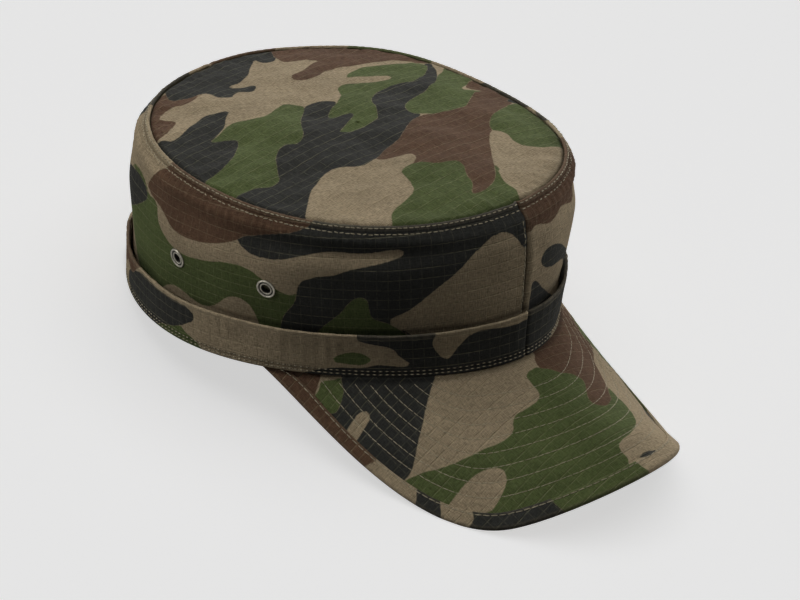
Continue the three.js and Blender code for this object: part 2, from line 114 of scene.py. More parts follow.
# Rows of (across, along, width, rise): folds of the top, as shares of its half sizes and of the dome
TOP_FOLDS = [
    (-0.55, -0.35, 0.28, -0.22), (-0.15, -0.62, 0.22, 0.16), (0.35, -0.50, 0.30, -0.20),
    (-0.30, 0.30, 0.32, 0.18), (0.30, 0.35, 0.34, -0.20), (0.65, 0.05, 0.24, 0.14),
]

# The camouflage print: tan cloth, with these outlines painted over it in their order
# On the crown's top they are (across, along), in mm
TOP_PRINT = [
    ("green", [
        (-95, 10), (-70, 14), (-57, 21.8), (-50, 23.5), (-46, 25), (-41, 26.3), (-36, 25.5), (-33, 23),
        (-29, 20.5), (-24, 19.8), (-20, 20.5), (-16, 21.5), (-11, 22.5), (-7.5, 21), (-5.5, 18.5),
        (-4.5, 15), (-10, 5), (-25, -8), (-50, -15), (-66, -28), (-95, -25),
    ]),
    ("brown", [
        (-95, 38), (-76, 40), (-70, 40.5), (-64, 41.5), (-57, 44), (-53, 46.5), (-52, 49), (-54.5, 51),
        (-56, 53), (-53.5, 55.5), (-50, 57.5), (-45, 58.5), (-41, 58), (-38.5, 55.8), (-34, 55.2),
        (-30, 56.2), (-24, 57), (-20, 60), (-30, 66), (-45, 75), (-70, 75), (-95, 60),
    ]),
    ("black", [
        (-95, 41), (-76, 40), (-70, 38.5), (-66, 34.5), (-58, 36), (-50, 38.5), (-42, 40), (-36, 38),
        (-32, 35.2), (-37, 32), (-41, 28.5), (-46, 25.5), (-52, 23.5), (-57, 21.5), (-51, 18.5), (-48, 15),
        (-50.5, 11.5), (-56, 7.5), (-62, 4), (-70, 1.5), (-78, 0.8), (-95, 0),
    ]),
    ("brown", [(-95, 92), (-10, 92), (12, 84), (2, 80.5), (-8, 78.5), (-18, 81), (-30, 80)]),
    ("black", [
        (-37.5, 63.5), (-33.5, 61), (-30, 58.8), (-25.5, 57), (-24, 54), (-24.5, 49), (-23, 46), (-20, 45),
        (-16.5, 47), (-13, 47.3), (-10, 45), (-7, 44.2), (-3.8, 45.8), (-2.5, 48), (-5.5, 49.8),
        (-9.5, 51.5), (-12.3, 53.5), (-11, 54.8), (-5, 55), (0, 56.5), (5, 59), (10, 63), (15, 66.5),
        (19.3, 69), (20, 66.5), (21, 64), (24, 62.8), (27, 63.5), (30, 65.5), (36, 66.5), (40, 72), (30, 80),
        (15, 84), (5, 79.5), (-8, 78), (-18, 80), (-30, 76), (-37, 68),
    ]),
    ("brown", [
        (29.5, 66), (28, 62), (28.5, 58.5), (32, 55.5), (36, 53.5), (38, 50.5), (39.8, 48.2), (35, 48),
        (30, 46.2), (25, 44), (18, 43), (14.5, 41.5), (13, 39), (15, 36.5), (20, 35.2), (26, 35.8),
        (31, 37.8), (36, 38), (42, 37), (50, 34.5), (57, 32.5), (64, 30), (70, 27.5), (75, 24.8),
        (78.5, 20.5), (83, 20), (95, 26), (90, 60), (50, 85), (36, 75),
    ]),
    ("black", [
        (-95, -17), (-84, -18.5), (-78, -19), (-72, -20.5), (-66, -23), (-60, -21.5), (-57, -18),
        (-53, -13.5), (-50, -10), (-46, -7), (-42, -5), (-38, -4.5), (-34, -6.5), (-30, -6), (-26, -3.5),
        (-22, 1), (-18, 5.5), (-13, 9.5), (-8, 13), (-5, 15.5), (0, 16.8), (5, 16), (8.5, 13.5), (12, 8),
        (25, 8), (42, 10), (60, 10), (70, 14), (79, 19.5), (81, 18.5), (78, 12.5), (74, 8), (69, 3.5),
        (64, 0), (58, -2.5), (50, -5.5), (42, -7), (36, -8.5), (31, -11), (28.5, -14), (28.5, -17),
        (30.5, -20), (28, -22), (22, -23.5), (16, -26), (10, -29), (3, -32), (-5, -33.5), (-12, -36),
        (-18, -38.5), (-25, -39), (-30, -37.5), (-34, -34), (-39, -32), (-44, -32.5), (-50, -34.5),
        (-57, -37.5), (-62, -40.5), (-68, -45), (-74, -49.5), (-78, -53), (-95, -55),
    ]),
    ("green", [
        (35, 27), (38, 29.5), (43, 31), (48, 31), (52, 30), (56, 28), (61, 26.5), (66, 25), (71, 24),
        (75, 23.5), (77, 21), (78, 18), (75, 14.5), (70, 11), (65, 8.5), (60, 6.5), (54, 5.5), (48, 6.5),
        (42, 7), (34, 6.5), (28, 4.5), (23, 1.5), (20, -2), (17.5, -6), (14, -10), (10, -13.5), (3, -14.5),
        (-5, -14.5), (-9, -14), (-12, -12), (-9, -10.5), (-4, -8.5), (1.5, -6.2), (5, -4.2), (5.6, -1.8),
        (2.5, -0.4), (-1, 0), (-4, 1.2), (-2.5, 3.8), (2, 6.5), (8, 9), (14, 12), (18, 15), (20.5, 18.5),
        (23, 21.5), (27, 22.5), (31, 21.5), (36, 18), (40, 15), (45, 13.5), (50, 14), (50.5, 16.5), (47, 18),
        (44.5, 20), (42, 22.5), (38, 24.5), (35.5, 26),
    ]),
    ("green", [
        (28.5, -14), (31, -11), (36, -8.5), (42, -7), (50, -5.5), (58, -2.5), (64, 0), (69, 3.5), (74, 7),
        (79, 9), (84, 12), (95, 15), (95, -3), (88, -4), (70, -10), (78, -15), (72, -16.5), (65, -20),
        (60, -23), (55, -25.5), (50, -26.5), (42, -25), (35, -23.5), (30.5, -20.5), (28.3, -17),
    ]),
    ("green", [
        (-9, -51), (-16, -52), (-19, -53.5), (-20.5, -57), (-22.5, -62), (-26, -66.5), (-30, -68.5),
        (-38, -70.5), (-45, -71.8), (-49, -74.5), (-53, -78.5), (-62, -84), (-60, -100), (-20, -110),
        (3, -105), (5, -98), (9, -93), (10, -88), (11.5, -83), (14, -79), (18, -74), (10, -60), (0, -50),
    ]),
    ("green", [
        (43.5, -49.3), (46, -51), (47.3, -54.5), (46, -58.5), (44.2, -62), (44, -67), (46, -70.5), (50, -74),
        (55, -76), (58, -78.5), (64, -82), (90, -70), (95, -35), (84, -33), (75, -33.5), (70, -35),
        (55, -36), (46, -44),
    ]),
    ("brown", [
        (-18, -38.5), (-12, -36), (-5, -33.5), (3, -32), (10, -29), (16, -26), (22, -23.5), (28, -22),
        (35, -23.5), (42, -25), (50, -26.5), (55, -25.5), (60, -23), (65, -20), (72, -16.5), (78, -15),
        (76, -12), (74, -9.5), (77, -7), (82, -4.5), (88, -4), (95, -3), (95, -30), (84, -31), (75, -33.5),
        (70, -35), (62, -38), (55, -40.5), (50, -43.5), (46, -47), (44.5, -49.5), (40, -52), (34, -57),
        (28, -63), (22, -69), (16, -75), (10, -80.5), (4, -83.5), (-2, -85), (-8, -84.5), (-7.5, -82.5),
        (-4, -80), (-1, -77), (0, -74), (3, -70), (6.5, -66), (7, -62), (3.5, -60), (0, -59), (-4, -56.5),
        (-8, -52.5), (-10, -51), (-6, -50), (-3.5, -47), (-5, -44.5), (-10, -43), (-14, -42), (-18, -40.5),
        (-19, -39.5),
    ]),
    ("black", [(79, -29), (84, -27.5), (95, -25), (95, -36), (84, -36.5), (80, -33)]),
]
# On the walls and bands they are (way round from the front seam over the wearer's right, height), in mm
RIGHT_WALL_PRINT = [
    ("black", [
        (-6, 80), (-6, 45), (0.5, 50), (3, 52.5), (5, 56), (7.5, 59.3), (11, 61.2), (15, 61.2), (18.5, 60),
        (22, 57.5), (26, 55), (31, 50.5), (36, 46.5), (42, 42), (48, 37), (54, 32.5), (61.5, 28.5), (60, 24),
        (53, 20), (60, 12), (110, 12), (110.7, 20), (109.5, 25), (107, 29.5), (104, 33.5), (102.5, 38),
        (101.5, 43), (99, 46.5), (95, 48.5), (105, 52), (119, 54), (125, 55), (129.5, 57), (132.3, 59.5),
        (129, 61.5), (124, 63), (117, 65), (110, 66.7), (104, 68.2), (99, 70.5), (95, 76), (60, 82),
    ]),
    ("tan", [
        (55, 60), (57, 61.3), (62, 61.3), (68, 60.3), (76, 59.8), (84, 60.2), (90, 59.9), (96, 58.6),
        (102, 57), (108, 55.2), (114, 54.2), (120, 54), (128, 50), (112, 42), (104, 38.5), (102.3, 40.5),
        (101.2, 44), (98, 47.2), (94, 48.7), (90, 49.4), (85.5, 50.2), (80, 52.4), (74, 54), (67, 55.5),
        (60, 57), (56, 58.3),
    ]),
    ("brown", [
        (97, 71.5), (100, 69.8), (104, 68.2), (110, 66.7), (117, 65), (124, 63), (129, 61.5), (132.5, 59.2),
        (137, 57), (143, 55), (150, 53), (157, 52.1), (164, 52.2), (170, 53.5), (175, 56), (180, 58),
        (185, 59.3), (191, 60.3), (196, 62), (198, 64), (196, 66.3), (192, 70), (187.5, 74.5), (183, 78),
        (178, 84), (120, 84), (95, 78),
    ]),
    ("green", [
        (102.3, 39.5), (105, 38.3), (108, 38.7), (111.5, 40), (114.5, 42), (119, 44.2), (122.5, 46.2),
        (127, 47.6), (133, 48), (140, 47), (147, 45), (153, 43.8), (160, 43), (167, 43.3), (172.5, 45),
        (178, 48), (182, 51.5), (184, 55), (185.5, 58), (190, 59.8), (196, 60), (203, 64.5), (212, 66),
        (222, 64), (230, 55), (228, 40), (220, 28), (205, 16), (150, 10), (112, 10), (110.7, 20),
        (109.5, 25), (107, 29.5), (104, 33.5), (102.8, 36.5),
    ]),
    ("black", [
        (197, 57.5), (200, 61), (206, 63), (214, 63.5), (224, 62), (236, 58), (245, 50), (238, 44),
        (226, 43), (216, 46), (208, 50), (202, 53.5),
    ]),
    ("tan", [
        (120, 14), (121.5, 20), (122.5, 23.5), (124.5, 27.5), (127.5, 30.4), (131.5, 31.4), (136, 30.4),
        (140, 27.3), (144, 23.7), (148, 21.6), (152, 20.9), (158, 22), (164, 23.4), (170, 23.9), (175, 22.7),
        (179, 20.3), (184, 16), (180, 10), (125, 10),
    ]),
    ("green", [
        (50, 14), (54, 19.5), (58, 22.8), (62, 26), (66, 27.5), (69.5, 29.5), (70.7, 34), (71.3, 38),
        (73.2, 39.4), (76.5, 39), (80, 35.7), (83, 31.5), (87, 27.5), (91, 23.5), (93.7, 20), (95, 12),
    ]),
    ("brown", [
        (232, 26), (240, 32), (250, 34), (258, 30), (270, 32), (282, 38), (292, 36), (306, 30), (306, 8),
        (230, 8), (227, 17),
    ]),
    ("black", [
        (252, 90), (248, 76), (254, 66), (266, 61), (276, 63), (285, 58), (294, 51), (306, 48), (306, 68),
        (292, 74), (282, 90),
    ]),
    ("green", [
        (246, 48), (255, 52), (266, 48), (278, 50), (288, 45), (306, 42), (306, 34), (290, 40), (276, 37),
        (262, 40), (252, 42),
    ]),
]
LEFT_WALL_PRINT = [
    ("brown", [
        (6, 80), (6, 57), (-1.5, 57.3), (-4, 58.5), (-8, 57.6), (-13, 56), (-20, 57), (-24, 58.5),
        (-30, 57.2), (-37, 55.5), (-45, 57), (-55, 60), (-66, 64), (-74, 70), (-78, 80),
    ]),
    ("black", [
        (-7.5, 42), (-9.5, 44.6), (-13, 45.5), (-18, 44.6), (-25, 41.5), (-33, 36.5), (-42, 32), (-52, 30),
        (-60, 26), (-58, 20), (-50, 20), (-42, 24.5), (-34, 30.5), (-26, 33), (-18, 34.3), (-12, 36.3),
        (-8.7, 39),
    ]),
    ("black", [
        (-3.2, 31), (-4.5, 32.7), (-6.5, 32.2), (-9, 30), (-12, 27), (-16, 24), (-20, 21), (-27, 16),
        (-27, 10), (-2, 10), (-3.3, 20), (-3.6, 26),
    ]),
    ("green", [
        (-62, 50), (-72, 55), (-85, 53), (-97, 58), (-112, 61), (-126, 56), (-131, 47), (-122, 40),
        (-108, 38), (-98, 30), (-90, 20), (-84, 10), (-66, 10), (-70, 24), (-64, 36),
    ]),
    ("black", [
        (-96, 88), (-92, 76), (-100, 69), (-114, 71), (-128, 66), (-140, 58), (-150, 48), (-160, 44),
        (-172, 50), (-180, 60), (-172, 68), (-158, 70), (-146, 76), (-138, 90),
    ]),
    ("brown", [
        (-118, 8), (-116, 20), (-124, 30), (-136, 34), (-148, 30), (-160, 33), (-172, 40), (-186, 38),
        (-196, 28), (-194, 16), (-186, 8),
    ]),
    ("green", [
        (-176, 92), (-182, 76), (-194, 66), (-202, 54), (-214, 46), (-230, 48), (-244, 56), (-256, 52),
        (-262, 60), (-252, 70), (-236, 74), (-222, 84), (-214, 94),
    ]),
    ("black", [
        (-206, 8), (-208, 22), (-218, 32), (-232, 34), (-246, 30), (-256, 36), (-270, 40), (-284, 34),
        (-290, 24), (-282, 8),
    ]),
    ("brown", [(-262, 94), (-266, 80), (-278, 70), (-290, 59), (-308, 54), (-308, 94)]),
    ("green", [(-286, 44), (-296, 48), (-308, 46), (-308, 18), (-296, 26)]),
]
RIGHT_BAND_PRINT = [
    ("black", [
        (-5, 18.7), (0, 18.4), (6, 18), (13, 18.4), (19, 19.4), (24, 19.4), (28, 18.2), (31, 15.8),
        (33.8, 12.8), (36, 9.6), (38, 8.2), (40.5, 9), (43, 12.5), (44.5, 16.5), (45, 24), (72, 26),
        (76, 19.5), (70, 17), (64, 16), (60.5, 14), (59, 11.5), (56.5, 9), (54, 6.8), (57, 5.5), (62, 6),
        (68, 6.5), (74, 5), (90, 3.5), (98, -4), (-5, -4),
    ]),
    ("green", [
        (70.5, 9), (73, 11.5), (77, 12.6), (81, 12), (84.5, 10.5), (86.8, 8.5), (85.5, 7.2), (80, 6.5),
        (74, 6.5),
    ]),
    ("green", [(148, -3), (153, 3), (159, 5.5), (163, 8), (168, 6.5), (174, 4.5), (181, 2), (184, -3)]),
    ("black", [
        (153.5, 15), (154.2, 17.5), (156.5, 19), (161, 19.6), (168, 19.7), (180, 19.6), (196, 20), (206, 17),
        (214, 14), (222, 8), (218, 2), (205, -3), (186, -1), (178, 2.5), (172, 4.2), (167, 5.8), (162, 8),
        (158, 10.5), (154.6, 12.8),
    ]),
    ("brown", [(200, 26), (206, 17), (214, 13), (222, 15), (230, 11), (240, 12), (252, 26)]),
    ("green", [(245, -3), (250, 6), (260, 10), (272, 8), (284, 14), (308, 16), (308, -3)]),
]
LEFT_BAND_PRINT = [
    ("black", [(4, 26), (4, -3), (-12, -3), (-22, 2), (-34, 6), (-46, 8), (-58, 14), (-56, 26)]),
    ("brown", [(-66, 26), (-70, 14), (-80, 8), (-92, 10), (-100, 16), (-108, 26)]),
    ("green", [(-96, -3), (-104, 6), (-118, 12), (-132, 10), (-142, 4), (-146, -3)]),
    ("black", [
        (-150, 26), (-154, 14), (-166, 10), (-180, 12), (-192, 8), (-204, 10), (-210, 18), (-208, 26),
    ]),
    ("brown", [(-214, -3), (-220, 6), (-232, 9), (-246, 6), (-252, -3)]),
    ("green", [(-240, 26), (-246, 16), (-260, 12), (-274, 15), (-288, 10), (-308, 12), (-308, 26)]),
]
# On the peak they are (across, along) on the cloth laid flat, from the middle of its root, in mm
PEAK_PRINT = [
    ("brown", [
        (-95, 76), (-95, 47), (-84, 46.5), (-78, 48.5), (-74, 50.5), (-72, 53), (-76, 60), (-84, 76),
    ]),
    ("green", [(-95, 48), (-95, 30), (-75, 30), (-68, 42), (-71, 45.5), (-75, 48.7), (-80, 47)]),
    ("black", [
        (-95, 37), (-83, 37), (-79.5, 35.3), (-75, 36.5), (-71, 39), (-68, 43), (-60, 47), (-25, 22),
        (-37, 17), (-41, 14.6), (-46, 12), (-52, 8.5), (-58, 4.5), (-64, 1), (-70, -3), (-75, -5.6),
        (-80, -6), (-95, -8),
    ]),
    ("tan", [
        (-95, 26.5), (-83, 26.6), (-78, 27.3), (-73, 27.5), (-70.2, 25.4), (-71.5, 22.6), (-76, 21.6),
        (-82, 20.6), (-95, 20),
    ]),
    ("green", [
        (-95, -3), (-82, -5.2), (-76, -7.5), (-71, -9.8), (-66, -13), (-60, -16), (-53, -18.6), (-46, -21),
        (-40, -23.6), (-35, -24.5), (-31.5, -23.6), (-29, -21), (-25.5, -19.6), (-20, -20.5), (-14, -20.4),
        (-10.8, -18.3), (-9.5, -14), (-8.7, -9), (-6, -7), (-2, -6.7), (1, -7.5), (12, -14), (26, -26),
        (27, -31), (26, -37), (24, -43), (21, -47), (17, -51), (11.5, -54), (5, -56), (0, -56.6), (-4, -58),
        (-5.7, -61), (-6, -65), (-8, -68.5), (-6, -74), (-8, -84), (-60, -75), (-95, -40),
    ]),
    ("brown", [
        (6, 6), (5, 0), (2, -3.5), (0.5, -7.5), (3, -9.5), (6, -13), (9.5, -15.6), (13, -18), (14, -21.5),
        (12, -25), (8, -29), (5.5, -32.3), (6.2, -36), (10.5, -38.2), (15.5, -36.7), (19, -35), (23, -31),
        (27, -28), (30, -25), (33.5, -20.5), (38, -15), (43, -9.5), (48, -6), (54, -2), (60, 6), (62, 20),
        (50, 26), (36, 22), (20, 12),
    ]),
    ("tan", [
        (-77, -30), (-74.5, -27), (-68, -26), (-60, -25.6), (-53, -27), (-49, -29.6), (-47, -32.5),
        (-48.3, -36), (-52, -38.7), (-57, -40.2), (-62, -41.2), (-66, -39.5), (-70, -36), (-82, -38),
    ]),
    ("black", [(-2, -67.8), (2, -66.8), (6, -67), (9, -68.3), (5, -69.4), (1, -69.2)]),
    ("green", [
        (56, 6), (62, 0), (68, -8), (78, -12), (95, -8), (95, 34), (84, 32), (76, 24), (66, 22), (60, 16),
    ]),
    ("black", [(64, 32), (72, 40), (80, 46), (95, 46), (95, 76), (80, 70), (64, 44)]),
    ("black", [(56, -40), (62, -34), (72, -36), (80, -44), (66, -54), (58, -48)]),
]
BINDING_PRINT = [
    ("brown", [(-95, 82), (-78, 82), (-76, 40), (-80, 12), (-83, 9), (-87, 10.5), (-95, 11)]),
    ("black", [
        (-90, -15.5), (-83, -16.2), (-77.5, -12.5), (-72, -18), (-75, -23), (-79.5, -28), (-86, -32),
    ]),
    ("black", [
        (-78, -41), (-70.5, -38.5), (-66, -32), (-60, -38), (-50, -46), (-41.5, -53), (-41, -60), (-40, -68),
        (-55, -66), (-72, -54),
    ]),
    ("green", [
        (-41.5, -53), (-30, -58), (-12, -62), (-6, -65), (-5, -72), (-5.5, -82), (-30, -82), (-41, -70),
    ]),
    ("black", [(-2, -67.8), (2, -66.8), (6, -67), (9, -68.3), (5, -69.4), (1, -69.2)]),
    ("green", [(66, -34), (78, -28), (92, -6), (92, 18), (84, 24), (78, 10), (74, -8)]),
    ("brown", [(76, 36), (95, 34), (95, 85), (70, 85)]),
]
COLOURS = ["green", "brown", "black"]
# How far round an outline its distance is kept, in mm
PRINT_REACH = 4.0

# Stitches: how far apart they start, how long, wide and high one is, and how much it is shifted and turned
STITCH_PITCH = 2.6
STITCH = (2.3, 0.55, 0.45)
STITCH_SHIFT = 0.12
STITCH_YAW = 0.07
LOWER_SEAM_STITCH = (2.2, 0.45, 0.4)
HEM_STITCH = (2.2, 0.45, 0.36)
BINDING_STITCH = (3.1, 0.42, 0.36)
PEAK_STITCH = (2.8, 0.36, 0.32)
# Where the rows of stitches run, in mm: over and below the top seam, above the hem, beside the wall's seams,
# and from the peak's edge
UPPER_SEAM_RISE = 0.25
LOWER_SEAM_DROP = 2.1
HEM_ROWS = (3.2, 1.5)
UPRIGHT_ROW_GAP = 1.6
BINDING_ROW_DISTANCE = 6.3
PEAK_ROW_DISTANCES = [14.2, 20.8, 27.4, 34.0, 40.6, 47.2, 53.8, 60.4]

CAMERA_AZIMUTH = math.radians(-48.29)
CAMERA_ELEVATION = math.radians(25.576)
CAMERA_ROLL = math.radians(-0.118)
CAMERA_DISTANCE = 1500.0
CAMERA_TARGET = (39.754, 0.0, -21.654)
FOCAL_PIXELS = 3299.6
IMAGE_WIDTH = 800
SENSOR_WIDTH = 36.0

# How the cap lies on the floor: tipped back on its band's lower edge, with the peak's corners down
RESTING_TILT = math.radians(-11.90055)
RESTING_PLACE = np.array([-0.985, 37.099, 21.110])
UP = np.array([0.0, 0.0, 1.0])


def to_floor(points):
    """Points of the cap's own frame, in mm, as they lie on the floor, in metres, none below its level."""
    x, y, z = np.moveaxis(np.asarray(points, float), -1, 0)
    cos, sin = math.cos(RESTING_TILT), math.sin(RESTING_TILT)
    placed = np.stack([x, y * cos - z * sin, y * sin + z * cos], -1) + RESTING_PLACE
    placed[..., 2] = np.maximum(placed[..., 2], 0)
    return placed * MM


def unit(vectors):
    return vectors / np.linalg.norm(vectors, axis=-1, keepdims=True)


def way_along(points):
    """The way from a line's first point to each of its points."""
    return np.concatenate([[0], np.cumsum(np.linalg.norm(np.diff(points, axis=0), axis=1))])


def smooth(share):
    """A soft step from 0 to 1."""
    share = np.clip(share, 0, 1)
    return share * share * (3 - 2 * share)


def hump(distance):
    return np.exp(-np.square(distance))


def waves(first, second, length, seed, count=7):
    """A smooth seeded unevenness of about -1 to 1 over two coordinates."""
    random = np.random.default_rng(seed)
    total = np.zeros(np.broadcast(first, second).shape)
    for _ in range(count):
        heading, phase = random.uniform(0, TURN, 2)
        stretch = random.uniform(0.7, 1.5) * TURN / length
        total += np.sin(stretch * (np.cos(heading) * first + np.sin(heading) * second) + phase)
    return total / math.sqrt(count)


def signed_power(value, power):
    return np.sign(value) * np.abs(value) ** power


def oval(shape, angle):
    """A point on the band's or crown's outline, from the front over the wearer's right."""
    angle = np.asarray(angle, float) + 1e-9
    power = 2 / shape["roundness"]
    along = -signed_power(np.cos(angle), power)
    across = -signed_power(np.sin(angle), power) * (1 + shape["egg"] * along)
    point = np.stack([across * shape["width"] / 2, along * shape["length"] / 2], -1)
    reach = np.linalg.norm(point, axis=-1, keepdims=True)
    swell = sum(
        shape["width"] * (cosine * np.cos(count * angle) + sine * np.sin(count * angle))
        for count, cosine, sine in shape["waves"]
    )
    return point * (1 + swell[..., None] / reach) + np.array(shape["middle"])


def outward(shape, angle):
    angle, step = np.asarray(angle), 0.02
    chord = oval(shape, angle + step) - oval(shape, angle - step)
    return unit(np.stack([-chord[..., 1], chord[..., 0]], -1))


def gap_round(angle, around):
    """How far an angle is from a place round the cap, as a share of the turn."""
    gap = np.abs(np.mod(angle / TURN, 1) - around)
    return np.minimum(gap, 1 - gap)


def seam_plane(along):
    """The top seam's height where it doesn't sag, for a place from front to back."""
    front = -CROWN["length"] / 2 + CROWN["middle"][1]
    return FRONT_HEIGHT + (BACK_HEIGHT - FRONT_HEIGHT) * (along - front) / CROWN["length"]


def seam_sag(angle):
    return sum(
        BACK_HEIGHT * drop * hump(gap_round(angle, around) / width) for around, width, drop in SEAM_SAGS
    )


def seam_height(angle):
    return seam_plane(oval(CROWN, angle)[..., 1]) - seam_sag(angle)


def wall_fold(angle, height):
    return sum(
        rise * hump(gap_round(angle, around) / width) * hump(2 * (height - middle) / (1 - middle))
        for around, middle, width, rise in WALL_FOLDS
    )


def wall_offset(angle, height):
    tuck = np.interp(height, WALL_SECTION[:, 0], WALL_SECTION[:, 1])
    bulge = np.interp(height, WALL_SECTION[:, 0], WALL_SECTION[:, 2])
    return WALL_BULGE * bulge * (1 + wall_fold(angle, height)) - (CLOTH + CLEARANCE) * tuck


def wall_line(angle, height, out):
    """A point at a share of the wall's height, out of the line between the band's and crown's outlines."""
    angle, height, out = np.broadcast_arrays(angle, height, out)
    low, high = oval(BAND, angle), oval(CROWN, angle)
    share = height[..., None]
    heading = unit(outward(BAND, angle) * (1 - share) + outward(CROWN, angle) * share)
    flat = low * (1 - share) + high * share + heading * out[..., None]
    return np.concatenate([flat, (seam_height(angle) * height)[..., None]], -1)


# Way round the band, in mm from the front seam, and back to an angle
TURN_STEPS = np.linspace(0, TURN, 1441)
WAY_STEPS = way_along(oval(BAND, TURN_STEPS))
WAY_ROUND = WAY_STEPS[-1]


def angle_at(way):
    return np.interp(way, WAY_STEPS, TURN_STEPS)


def seam_gaps(way):
    """How far, in mm, a place round the band is from the front seam and from the back one."""
    return np.minimum(way, WAY_ROUND - way), np.abs(way - WAY_ROUND / 2)


# In the surfaces and shades below, a hump's numbers are its place and its width, in mm, and those of waves
# are their length, in mm, and their seed
def wall_point(way, height_mm, depth=0.0, rise=0.0):
    """The wall's outer face, or a depth inside it, with seams, puckers and soft waves."""
    angle = angle_at(way)
    full = seam_height(angle)
    height = height_mm / full
    out = wall_offset(angle, height)
    below_seam = full - height_mm
    out = out - 0.4 * hump((below_seam - LOWER_SEAM_DROP) / 1.0)
    out = out + 0.24 * waves(way, height_mm * 0.1, 4.2, 3) * hump((below_seam - 4.5) / 5.0)
    out = out + 0.35 * waves(way, height_mm * 0.8, 34.0, 5) * smooth(below_seam / 20)
    for gap, seed in zip(seam_gaps(way), (11, 12)):
        out = out - SEAM_GROOVE * hump(gap / SEAM_GROOVE) + 0.3 * hump((gap - 2.2) / 1.3)
        out = out + 0.2 * waves(height_mm, gap * 0.2, 6.0, seed) * hump((gap - 3) / 4)
    point = wall_line(angle, height, out - depth)
    point[..., 2] += rise
    return point


def band_point(way, height_mm, depth=0.0):
    """The fold-up band's outer face, or a depth inside it."""
    angle = angle_at(way)
    full = seam_height(angle)
    share = height_mm / BAND_HEIGHT
    out = wall_offset(angle, np.maximum(height_mm, CLOTH + CLEARANCE) / full)
    out = out + CLEARANCE + BAND_STANDOFF * share + CLOTH
    out = out + 0.14 * waves(way, height_mm * 0.2, 6.5, 21) * smooth(share * 1.5)
    out = out + 0.4 * waves(way, height_mm * 0.4, 45.0, 22) * smooth(share)
    out = out - 0.35 * hump((height_mm - 2.4) / 1.2) * (1 + 0.4 * waves(way, 0.0, 5.0, 23))
    out = out - SEAM_GROOVE * hump(np.minimum(*seam_gaps(way)) / SEAM_GROOVE)
    return wall_line(angle, height_mm / full, out - depth)


def bezier(points, share):
    a, b, c, d = [np.asarray(point, float) for point in points]
    t = share[:, None]
    return (1 - t) ** 3 * a + 3 * (1 - t) ** 2 * t * b + 3 * (1 - t) * t ** 2 * c + t ** 3 * d


def peak_outline():
    """The left half of the peak's edge, from the front's middle to the tip, and the way along it."""
    half, reach, drop = PEAK_CORNER
    nose = -BAND["length"] / 2
    front = np.array([0, nose - PEAK_LENGTH, -PEAK_DROP])
    corner = np.array([half, nose - reach, -drop])
    tucked = oval(BAND, -PEAK_TIP_ANGLE) - TIP_TUCK * outward(BAND, -PEAK_TIP_ANGLE)
    tip = np.array([*tucked, -TIP_DROP])
    heading = unit(np.array([0.62, 0.76, -0.18]))
    side = np.linalg.norm(tip - corner)
    share = np.linspace(0, 1, 400)
    fore = bezier([front, front + [half / 2, 0, 0], corner - 0.27 * half * heading, corner], share)
    after = tip + np.array([-0.03, -0.2, -0.11]) * side
    aft = bezier([corner, corner + 0.32 * side * heading, after, tip], share)
    points = np.vstack([fore, aft[1:]])
    return points, way_along(points)


OUTLINE_POINTS, OUTLINE_WAY = peak_outline()
OUTLINE_LENGTH = OUTLINE_WAY[-1]


def peak_edge(share):
    """The peak's edge, from the tip on the wearer's right (-1) to the one on the left (1)."""
    way = np.abs(share) * OUTLINE_LENGTH
    point = np.stack([np.interp(way, OUTLINE_WAY, OUTLINE_POINTS[:, i]) for i in range(3)], -1)
    point[..., 0] *= np.where(share < 0, -1, 1)
    return point


def peak_root(share):
    """The peak's root, just inside the band's lower edge."""
    angle = -share * PEAK_ROOT_ANGLE * PEAK_ROOT_SHARE
    from_tip = (1 - np.abs(share)) * OUTLINE_LENGTH
    middle_drop = PEAK_THICKNESS / 2 + CLEARANCE
    drop = TIP_DROP + (middle_drop - TIP_DROP) * smooth(from_tip / 40)
    tuck = 0.6 + 1.3 * TIP_TUCK * (1 - smooth(from_tip / 60))
    flat = oval(BAND, angle) - outward(BAND, angle) * tuck[..., None]
    return np.concatenate([flat, -drop[..., None]], -1)


def peak_middle(share, reach):
    """The middle of the peak's thickness: straight lines from its root (0) to its edge (1)."""
    return peak_root(share) * (1 - reach[..., None]) + peak_edge(share) * reach[..., None]


def peak_width(share):
    return np.linalg.norm(peak_edge(share) - peak_root(share), axis=-1)


def thinning(share):
    """How thin the peak gets towards its tips, as a share of its thickness."""
    return TIP_THINNESS + (1 - TIP_THINNESS) * smooth((1 - np.abs(share)) * OUTLINE_LENGTH / 20)


def peak_normal(share, reach):
    step = 0.004
    along = peak_middle(share + step, reach) - peak_middle(share - step, reach)
    down = peak_edge(share) - peak_root(share)
    return unit(np.cross(down, along))


def peak_columns(count, end):
    """Shares along the peak up to an end, closer together towards its tips."""
    bend = math.pi / 2 * 0.93
    return np.sin(np.linspace(-1, 1, count) * bend) / math.sin(bend) * end


def peak_face(share, inward, side, lift=0.0):
    """The peak's upper (side 1) or under face (-1), quilted, for distances inward from its edge."""
    width = peak_width(share)
    reach = 1 - inward / width
    thick = PEAK_EDGE_THICKNESS + (PEAK_THICKNESS - PEAK_EDGE_THICKNESS) * smooth((inward - 4) / 14)
    thick = np.minimum(thick, PEAK_EDGE_THICKNESS + 0.12 * width) * thinning(share)
    quilt = -0.1
    for row in PEAK_ROW_DISTANCES:
        quilt = quilt - 0.28 * hump((inward - row) / 0.9) + 0.1 * hump((inward - row - 3.3) / 2.2)
    quilt = quilt * smooth((width - inward) / 3)
    way = share * OUTLINE_LENGTH
    quilt = quilt + 0.08 * waves(way, inward * 0.4, 7.0, 31) * smooth((inward - 9) / 5)
    off = side * (thick / 2 + quilt + lift)
    return peak_middle(share, reach) + peak_normal(share, np.clip(reach, 0.0, 0.97)) * off[..., None]


